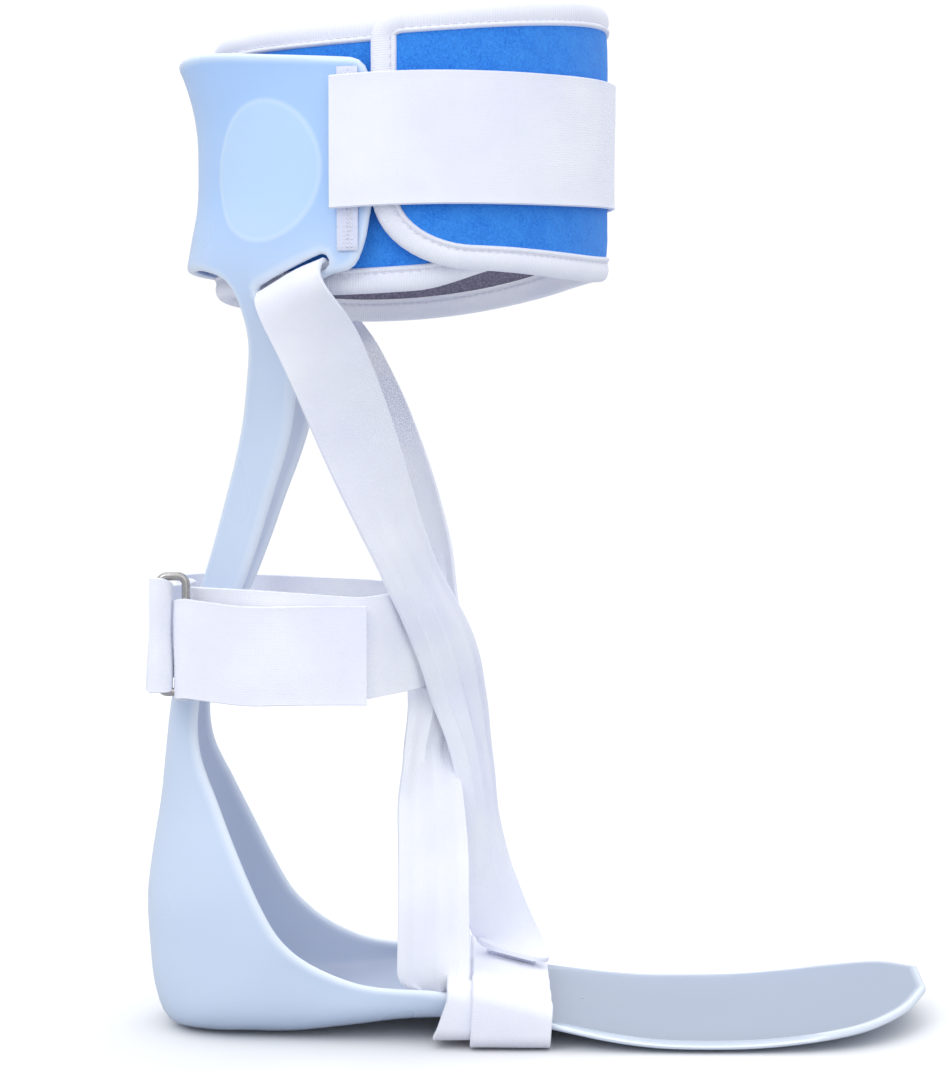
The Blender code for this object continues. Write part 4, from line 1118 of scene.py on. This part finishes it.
def build_pad_stitches(name, pad, body, thread):
    """The line of stitches in the seam beside the binding's piping."""
    for side, height in (("outer", SEAM_HEIGHT), ("inner", -SEAM_HEIGHT)):
        rim = pad.rim(SEAM_INSET)
        points = [pad.place(a, h, height) for a, h in rim]
        above = [pad.place(a, h, height * 1.4) for a, h in rim]
        normals = [(Vector(q) - Vector(p)).normalized() for p, q in zip(points, above)]
        item = stitch_row(f"{name}_{side}", points, normals)
        belongs(item, thread, (), body, blend=body != "root")


# --- straps round the calf -------------------------------------------------------------------------

def calf_strap_middle(angle):
    sag = 2.6 * math.exp(-((angle + 42.0) / 45.0) ** 2)
    return 279.4 + 4.6 * math.cos(math.radians(angle)) - sag


def calf_strap_radius(angle):
    """The strap's middle radius: over the wing, down onto the pad, and up over the flap."""
    over_wing = smooth_step((angle - 62.0) / 30.0)
    over_pad = pad_radius(min(angle, 60.0)) + 0.5 * PAD_THICKNESS + 0.5
    over_hook = 0.9 * smooth_step((-angle - 10.0) / 35.0)
    inner = (over_pad + over_hook) * (1.0 - over_wing) + (CUP_RADIUS + 0.7) * over_wing
    return inner + 0.5 * STRAP_THICKNESS


def calf_rows(start, end, half, radius, middle=calf_strap_middle, ripple=0.3):
    """Rows of a band round the calf, from one angle to another."""
    count = max(2, round(abs(end - start) / 2.0))
    rows = []
    for k in range(count + 1):
        angle = start + (end - start) * k / count
        row = []
        for share in shares_across(17):
            z = middle(angle) + half * share
            soft = wrinkle(angle * 0.7, share * 9.0, 0.0, 13.0, ripple, 7.0)
            row.append(Vector(polar(angle, radius(angle) + soft, z)))
        rows.append(row)
    return rows


def box_stitches(name, rows, margin_rows, margin, depth, thread):
    """A rectangle of stitches just inside a band's edge, at the depth behind its middle, which is the
    side it shows."""
    across = len(rows[0])
    first, last = margin_rows, len(rows) - 1 - margin_rows
    low, high = margin, across - 1 - margin
    ring = [(r, low) for r in range(first, last)] + [(last, c) for c in range(low, high)]
    ring += [(r, high) for r in range(last, first, -1)] + [(first, c) for c in range(high, low - 1, -1)]
    points, normals = [], []
    for r, c in ring:
        travel = rows[min(r + 1, len(rows) - 1)][c] - rows[max(r - 1, 0)][c]
        side = rows[r][min(c + 1, across - 1)] - rows[r][max(c - 1, 0)]
        normal = travel.cross(side).normalized()
        points.append(rows[r][c] - normal * depth)
        normals.append(-normal)
    item = stitch_row(name, points, normals, 2.8, 1.9, 0.2)
    belongs(item, thread)


def under_strap(angle):
    """The middle radius of a hook patch under the calf strap."""
    return calf_strap_radius(angle) - 0.5 * (STRAP_THICKNESS + HOOK_THICKNESS) - 0.1


def on_wing(angle):
    """The middle radius of hook tape glued on the wing."""
    return CUP_RADIUS + 0.4 + 0.5 * HOOK_THICKNESS


def strip_middle(angle):
    return HOOK_STRIP_Z


def build_calf_straps(webbing, hook, thread):
    half = 0.5 * CALF_STRAP_WIDTH
    profile = band_profile(STRAP_THICKNESS)
    hook_profile = band_profile(HOOK_THICKNESS, 0.0)
    anchor = calf_rows(ANCHOR_END, HINGE_ANGLE, half, calf_strap_radius)
    item = swept_band("calf_strap_fixed_length", anchor, profile)
    belongs(item, webbing, ["calf_strap_anchor"])
    strap = calf_rows(HINGE_ANGLE, CALF_STRAP_END, half, calf_strap_radius)
    item = swept_band("calf_strap_cloth", strap, profile)
    belongs(item, webbing, ["calf_strap"], "calf_strap", blend=True)
    patch = calf_rows(*STRAP_HOOK_ANGLES, half - 2.0, under_strap)
    item = swept_band("calf_strap_hook_patch", patch, hook_profile)
    belongs(item, hook, ["calf_strap_hook"], "calf_strap")
    strip = calf_rows(*HOOK_STRIP_ANGLES, HOOK_STRIP_HALF, on_wing, strip_middle, 0.0)
    item = swept_band("calf_hook_strip_tape", strip, hook_profile)
    belongs(item, hook, ["calf_hook_strip"])
    box_stitches("calf_strap_fixed_stitches", anchor[:14], 1, 2, 0.95, thread)


# --- rivets ----------------------------------------------------------------------------------------

def build_rivet(name, node, point, outward, inner_end, outer_end, metal):
    """A tubular rivet: domed outer head with a rolled rim, flat inner washer with the shank's dimple."""
    profile = [(0.0, outer_end + 1.15), (1.2, outer_end + 1.15), (2.6, outer_end + 1.05),
               (3.7, outer_end + 0.75), (4.3, outer_end + 0.35), (RIVET_HEAD, outer_end + 0.1),
               (4.4, outer_end), (RIVET_SHANK, outer_end), (RIVET_SHANK, inner_end), (4.4, inner_end),
               (RIVET_HEAD, inner_end - 0.15), (4.3, inner_end - 0.5), (3.4, inner_end - 0.75),
               (2.2, inner_end - 0.8), (1.5, inner_end - 0.65), (1.2, inner_end - 0.2),
               (0.0, inner_end - 0.1)]
    steps = 40
    upright = Vector((0.0, 0.0, 1.0)).rotation_difference(Vector(outward))
    centre = frame_point(*point)
    vertices = []
    for k in range(steps):
        angle = 2 * math.pi * k / steps
        for r, h in profile:
            place = Vector((r * math.cos(angle) * MM, r * math.sin(angle) * MM, h * MM))
            vertices.append(centre + upright @ place)
    faces = grid_faces(steps, len(profile), close_rows=True)
    item = new_piece(name, vertices, faces, None, 45.0)
    belongs(item, metal, [node])


def build_rivets(metal):
    turn = math.radians(CALF_RIVET_ANGLE)
    outward = (math.cos(turn), math.sin(turn), 0.0)
    outer = calf_strap_radius(CALF_RIVET_ANGLE) + 0.5 * STRAP_THICKNESS + 0.05 - CUP_RADIUS
    for name, z in zip(("lower", "upper"), CALF_RIVET_Z):
        point = polar(CALF_RIVET_ANGLE, CUP_RADIUS, z - SOLE_FLAT)
        build_rivet(f"calf_rivet_{name}", f"calf_strap_rivet_{name}", point, outward,
                    -SHELL_THICKNESS - 0.1, outer, metal)
    here, _, _, outward = shell_frame(0.0, down_to(NECK_RIVET_Z))
    build_rivet("ankle_rivet", "ankle_strap_rivet", here, outward, -SHELL_THICKNESS - 0.2,
                BACK_STRAP_GAP + STRAP_THICKNESS + 0.05, metal)


# --- the long straps -------------------------------------------------------------------------------

def fold_stations(side):
    """A long strap's way out through its slot, from its sewn end inside the cup."""
    u, v = on_side(side, SLOT_SHARE, down_to(SLOT_Z))
    here, _, _, outward = shell_frame(u, v)
    du, dv = slot_direction(side)
    reach = 0.5 * TAPE_WIDTH
    front = Vector(shell_point(u + reach * du, v + reach * dv))
    rear = Vector(shell_point(u - reach * du, v - reach * dv))
    along = (front - rear).normalized()
    below = outward.cross(along) * side
    hollow = here - 0.5 * (front + rear)
    stops = ((-3.6, 1.6, 1.0), (-2.4, -0.1, 1.0), (-1.0, -0.3, 1.0), (0.9, 0.3, 0.9), (2.4, 2.4, 0.2),
             (3.0, 8.0, 0.0))
    return [(*(here + outward * out + below * drop), *along, *(hollow * bow)) for out, drop, bow in stops]


# Middle of each long strap, the direction across it, and how much it is gathered in the last number
LATERAL_UPPER = ((-46.0, 55.5, 216.0, 0.90, 0.10, 0.42, 0.0), (-37.0, 43.5, 193.0, 0.85, -0.20, 0.48, 0.05),
                 (-28.0, 33.5, 169.0, 0.68, -0.45, 0.55, 0.2), (-19.5, 24.0, 147.0, 0.60, -0.60, 0.52, 0.4))
MEDIAL_UPPER = ((-44.5, 56.0, 216.0, 0.90, 0.05, 0.42, 0.0), (-33.0, 45.0, 193.0, 0.86, -0.15, 0.48, 0.0),
                (-23.0, 34.5, 169.0, 0.80, -0.35, 0.48, 0.1), (-16.0, 24.5, 147.0, 0.76, -0.42, 0.48, 0.3))
LATERAL_LOWER = ((-9.5, -12.0, 124.0, 0.80, 0.50, 0.33, 0.45), (-5.0, -3.5, 106.5, 0.80, 0.58, 0.15, 0.5),
                 (-0.8, 2.0, 89.0, 0.62, 0.78, 0.08, 0.6), (1.8, 5.5, 70.0, 0.52, 0.85, 0.05, 0.5),
                 (3.4, 8.0, 54.0, 0.62, 0.78, 0.03, 0.4), (6.0, 10.0, 38.0, 0.82, 0.57, 0.00, 0.2),
                 (9.8, 11.5, 26.5, 0.95, 0.30, -0.10, 0.05), (12.2, 9.5, 21.4, 0.97, 0.00, -0.24, 0.0),
                 (12.5, 3.5, 20.4, 0.97, 0.00, -0.24, 0.0))
MEDIAL_LOWER = ((-13.0, 13.0, 124.0, 0.74, -0.20, 0.45, 0.45), (-11.5, -1.5, 106.0, 0.80, 0.35, 0.12, 0.25),
                (-15.3, -5.5, 90.0, 0.66, 0.70, 0.05, 0.3), (-14.6, -11.0, 75.0, 0.78, 0.45, 0.05, 0.15),
                (-13.6, -17.0, 60.0, 0.93, 0.37, 0.00, 0.15), (-13.3, -23.3, 42.0, 0.96, 0.26, 0.00, 0.25),
                (-13.3, -26.0, 26.0, 0.98, 0.05, -0.05, 0.25), (-13.3, -26.3, 15.5, 0.98, 0.00, -0.05, 0.2))


def with_gather(route, side=1.0):
    return [(x, side * y, z, ax, side * ay, az, 0.0, 0.0, 0.0, gather)
            for x, y, z, ax, ay, az, gather in route]


def build_long_strap(name, node, side, upper, lower, seed, webbing):
    stations = fold_stations(side) + with_gather(upper, side) + with_gather(lower)
    rows = tape_rows(stations, TAPE_WIDTH, 1.8, seed=seed, ripple=0.55, round_end=6.0)
    item = swept_band(name, rows, band_profile(TAPE_THICKNESS))
    belongs(item, webbing, [node])


def wrap_height(x, extra):
    """How high a turn of tape runs above the sole."""
    return LOOP_Z + LOOP_TILT * (x - LOOP_X) + extra


def build_sole_wrap(name, node, centre_x, half_width, low, extra, slant, seed, webbing):
    """A turn of tape round the footplate, under the sole and across above it. On the outer side its foot
    slants towards the heel by slant."""
    radius, straight = LOOP_CORNER, half_width - LOOP_CORNER
    rows = []

    def add_row(y, turn, upper):
        row = []
        for share in shares_across(15):
            x = centre_x + 0.5 * TAPE_WIDTH * share
            base = wrap_height(x, extra) - radius if upper else low + radius
            z = base + radius * math.sin(turn)
            x -= slant * smooth_step((LOOP_Z - z) / LOOP_Z) * smooth_step(-y / half_width)
            soft = wrinkle(x, y, z, 11.0, 0.5 if upper else 0.15, seed)
            row.append(Vector((x + 0.6 * soft, y + soft * math.cos(turn), z + soft * math.sin(turn))))
        rows.append(row)

    def add_bend(side, first, count, upper):
        for k in range(count):
            turn = math.radians(first + 15 * k)
            add_row(side * straight + radius * math.cos(turn), turn, upper)

    for k in range(30):
        add_row(-straight + 2 * straight * k / 30, math.radians(-90), False)
    add_bend(1, -90, 7, False)
    add_bend(1, 0, 7, True)
    for k in range(1, 30):
        add_row(straight - 2 * straight * k / 30, math.radians(90), True)
    add_bend(-1, 90, 7, True)
    add_bend(-1, 180, 6, False)
    item = swept_band(name, rows, band_profile(TAPE_THICKNESS), closed=True)
    belongs(item, webbing, [node])


def build_wrap_hook(name, node, x_range, y_range, extra, hook):
    """A hook patch lying on a wrap's top run."""
    lift = extra + 0.5 * (TAPE_THICKNESS + HOOK_THICKNESS) + 0.35
    rows = []
    for k in range(9):
        y = y_range[0] + (y_range[1] - y_range[0]) * k / 8
        row = []
        for share in shares_across(9):
            x = 0.5 * (x_range[0] + x_range[1]) + 0.5 * (x_range[1] - x_range[0]) * share
            row.append(Vector((x, y, wrap_height(x, lift))))
        rows.append(row)
    item = swept_band(name, rows, band_profile(HOOK_THICKNESS, 0.0))
    belongs(item, hook, [node])


# --- the ankle strap and its ring ------------------------------------------------------------------

def round_leg(leg, way, level, rise, swell):
    """A strap's half turn round one of the ring's legs, rising and swelling on the way."""
    stations = []
    for k in range(7):
        t = math.radians(90 + way * 30 * k)
        share = smooth_step(k / 6)
        stations.append((leg[0] + STRAP_TURN * math.cos(t), leg[1] + STRAP_TURN * math.sin(t),
                         level + rise * share, 0.0, 0.0, 1.0, 0.0, 0.0, 0.0, -swell * share))
    return stations


def ankle_stations():
    """The fixed length, from its fold round the ring's rear leg, behind the neck and round the ankle."""
    ring_x, ring_y = RING_REAR
    behind, _, _, outward = shell_frame(0.0, down_to(ANKLE_Z))
    behind = behind + outward * (BACK_STRAP_GAP + 0.5 * STRAP_THICKNESS)
    lean, level, front = 0.2, ANKLE_Z, ANKLE_FRONT_Z
    return (
        *round_leg(RING_REAR, -1, level, FOLD_RISE, FOLD_SWELL),
        (ring_x - 2.2, ring_y - 1.9, level + FOLD_RISE, 0.02, 0.0, 1.0, 0.0, 0.0, 0.0, -FOLD_SWELL),
        (ring_x - 2.8, ring_y + 1.6, level + 0.8 * FOLD_RISE, 0.05, 0.0, 1.0, 0.0, 0.0, 0.0, -0.2),
        (ring_x - 2.4, -24.0, level + 0.3 * FOLD_RISE, 0.14, 0.0, 1.0),
        (behind.x - 0.4, -9.0, level, lean, 0.0, 1.0),
        (behind.x, 0.0, level, lean, 0.0, 1.0),
        (behind.x - 0.4, 9.0, level, lean, 0.0, 1.0),
        (-101.0, 24.0, level, 0.12, 0.0, 1.0),
        (-97.0, 34.5, level, 0.04, 0.0, 1.0),
        (-86.0, 37.0, level, 0.0, 0.0, 1.0),
        (-62.0, 37.5, level - 1.0, 0.0, 0.0, 1.0),
        (-38.0, 36.0, level - 2.0, 0.0, 0.0, 1.0),
        (-27.0, 27.0, front, 0.0, 0.0, 1.0),
        (-19.0, 12.0, front, 0.0, 0.0, 1.0),
        (-17.0, 0.0, front, 0.0, 0.0, 1.0),
        (-19.0, -11.0, front, 0.0, 0.0, 1.0),
        (-27.5, -26.5, front, 0.0, 0.0, 1.0),
        (-35.0, -33.6, level - 3.0, 0.0, 0.0, 1.0),
        (-45.0, -34.4, level - 2.5, 0.0, 0.0, 1.0),
        (-66.0, -34.4, level - 1.0, 0.0, 0.0, 1.0),
        (RING_FRONT[0] + 1.0, RING_FRONT[1] + STRAP_TURN + 2.9, level, 0.0, 0.0, 1.0),
    )


def build_ankle_strap(webbing, hook):
    profile = band_profile(STRAP_THICKNESS)
    rows = tape_rows(ankle_stations(), ANKLE_STRAP_WIDTH, 2.4, 17, seed=21.0, ripple=0.7)
    item = swept_band("ankle_strap_cloth", rows, profile)
    belongs(item, webbing, ["ankle_strap"])
    x, y = RING_FRONT
    level, width = ANKLE_Z - 5.0, ANKLE_STRAP_WIDTH - 1.0
    stations = round_leg(RING_FRONT, 1, level + 1.0, 1.4, 0.0)
    stations += [
        (x + 8.0, y - 2.2, level + 1.2, 0.0, 0.0, 1.0), (-70.0, -37.4, level - 0.2, 0.0, 0.0, 1.0),
        (-52.0, -37.3, level, 0.0, 0.0, 1.0), (-33.8, -37.1, level, 0.0, 0.0, 1.0),
    ]
    rows = tape_rows(stations, width, 2.2, 17, seed=5.0, ripple=0.55)
    item = swept_band("ankle_strap_free_length", rows, profile)
    belongs(item, webbing, ["ankle_strap_end"], "ankle_strap_end")
    patch = []
    for k in range(11):
        along = -66.0 + 26.0 * k / 10
        patch.append([Vector((along, -35.8, ANKLE_Z - 3.0 + 12.0 * share))
                      for share in shares_across(11)])
    item = swept_band("ankle_strap_hook_patch", patch, band_profile(0.6, 0.0))
    belongs(item, hook, ["ankle_strap_hook"], "ankle_strap_end")


def build_ring(metal):
    (rear, y), front = RING_REAR, RING_FRONT[0]
    middle, reach = ANKLE_Z + RING_RAISE, 0.5 * RING_HEIGHT
    low, high = middle - reach + RING_CORNER, middle + reach - RING_CORNER
    rear, front = rear + RING_CORNER, front - RING_CORNER
    path = []
    for x, z, first in ((front, high, 0), (rear, high, 90), (rear, low, 180), (front, low, 270)):
        for k in range(9):
            turn = math.radians(first + 11.25 * k)
            path.append((x + RING_CORNER * math.cos(turn), y, z + RING_CORNER * math.sin(turn)))
    item = wire_loop("ankle_ring_wire", path, RING_WIRE)
    belongs(item, metal, ["ankle_ring"], "ankle_ring")


# --- studio ----------------------------------------------------------------------------------------

def area_light(name, location, target, size, power, colour):
    light = bpy.data.lights.new(name, "AREA")
    light.shape = "DISK"
    light.size, light.energy, light.color = size, power, colour
    item = bpy.data.objects.new(name, light)
    item.location = location
    item.rotation_euler = (Vector(target) - Vector(location)).to_track_quat("-Z", "Y").to_euler()
    bpy.context.scene.collection.objects.link(item)


def build_sky():
    """A white surround that gives most of its light from above."""
    world = bpy.data.worlds.new("studio")
    world.use_nodes = True
    tree = world.node_tree
    white = tree.nodes["Background"]
    white.inputs["Color"].default_value = (*WHITE, 1.0)
    white.inputs["Strength"].default_value = 1.05
    lit = tree.nodes.new("ShaderNodeBackground")
    lit.inputs["Color"].default_value = (0.95, 0.97, 1.0, 1.0)
    where = tree.nodes.new("ShaderNodeTexCoord")
    split = tree.nodes.new("ShaderNodeSeparateXYZ")
    height = tree.nodes.new("ShaderNodeMapRange")
    height.inputs["From Min"].default_value = -0.1
    height.inputs["To Min"].default_value = SKY_LOW
    height.inputs["To Max"].default_value = SKY_HIGH
    rays = tree.nodes.new("ShaderNodeLightPath")
    both = tree.nodes.new("ShaderNodeMixShader")
    for output, socket in (
        (where.outputs["Generated"], split.inputs["Vector"]),
        (split.outputs["Z"], height.inputs["Value"]),
        (height.outputs["Result"], lit.inputs["Strength"]),
        (rays.outputs["Is Camera Ray"], both.inputs["Fac"]),
        (lit.outputs["Background"], both.inputs[1]),
        (white.outputs["Background"], both.inputs[2]),
        (both.outputs["Shader"], tree.nodes["World Output"].inputs["Surface"]),
    ):
        tree.links.new(output, socket)
    return world


def build_studio(floor_paint):
    low, high = CAD_BOX
    middle = 0.5 * (low + high)
    corners = [(x * FLOOR_REACH, y * FLOOR_REACH, low.z) for x, y in ((-1, -1), (1, -1), (1, 1), (-1, 1))]
    mesh = bpy.data.meshes.new("floor")
    mesh.from_pydata(corners, [], [(0, 1, 2, 3)])
    floor = bpy.data.objects.new("floor", mesh)
    bpy.context.scene.collection.objects.link(floor)
    paint(floor, floor_paint)
    for name, place, size, power, colour in LIGHTS:
        area_light(name, place, middle, size, power, colour)
    bpy.context.scene.world = build_sky()
    bpy.context.scene.view_settings.view_transform = "Standard"
    camera = bpy.data.objects.new("camera", bpy.data.cameras.new("camera"))
    camera.data.lens = CAMERA_LENS
    camera.location = frame_point(*CAMERA)
    camera.rotation_euler = (math.radians(90.0 - CAMERA_PITCH), 0.0, 0.0)
    bpy.context.scene.collection.objects.link(camera)
    bpy.context.scene.camera = camera


SPINE = spine()
DISC_MIDDLE = polar(DISC_ANGLE, CUP_RADIUS, DISC_Z)

build_studio(floor_material())
plastic = plastic_material()
loop_cloth, lining = loop_cloth_material(), lining_material()
binding = binding_material()
webbing = webbing_material("webbing", (0.93, 0.94, 0.99), (0.86, 0.87, 0.98))
hook = hook_material()
thread = thread_material()
rivet_metal = metal_material("rivet_metal", (0.66, 0.66, 0.68), 0.25)
ring_metal = metal_material("ring_metal", (0.52, 0.50, 0.48), 0.14)

build_shell(plastic)
MAIN_PAD = Pad(PAD_END, 8.2, 8.2)
FLAP = Pad(FLAP_END, 26.0, 8.4)
build_foam("calf_pad_cloth", MAIN_PAD, ["calf_pad"], "root", (loop_cloth, lining))
build_foam("pad_flap_cloth", FLAP, ["pad_flap"], "pad_flap", (loop_cloth, lining))
build_binding("calf_pad_edging", MAIN_PAD, ["calf_pad_binding"], "root", binding)
build_binding("pad_flap_edging", FLAP, ["pad_flap_binding"], "pad_flap", binding)
build_pad_stitches("calf_pad_stitches", MAIN_PAD, "root", thread)
build_pad_stitches("pad_flap_stitches", FLAP, "pad_flap", thread)
build_calf_straps(webbing, hook, thread)
build_rivets(rivet_metal)
build_long_strap("lateral_strap_tape", "lateral_strap", -1.0, LATERAL_UPPER, LATERAL_LOWER, 1.0, webbing)
build_long_strap("medial_strap_tape", "medial_strap", 1.0, MEDIAL_UPPER, MEDIAL_LOWER, 4.0, webbing)
build_sole_wrap("sole_wrap_rear_tape", "sole_wrap_rear", centre_x=LOOP_X, half_width=41.0, low=3.3,
                extra=0.0, slant=5.0, seed=8.0, webbing=webbing)
build_sole_wrap("sole_wrap_front_tape", "sole_wrap_front", centre_x=11.5, half_width=42.9, low=1.5,
                extra=FRONT_LOOP_LIFT, slant=0.8, seed=12.0, webbing=webbing)
build_wrap_hook("lateral_hook_patch", "lateral_strap_hook", x_range=(4.0, 20.0), y_range=(8.0, 20.0),
                extra=FRONT_LOOP_LIFT, hook=hook)
build_wrap_hook("medial_hook_patch", "medial_strap_hook", x_range=(-8.0, -3.0), y_range=(-25.0, -18.0),
                extra=0.0, hook=hook)
build_ankle_strap(webbing, hook)
build_ring(ring_metal)
for node in ("pad_hook_disc_lateral", "pad_hook_disc_medial"):
    paint(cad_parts[node], hook)
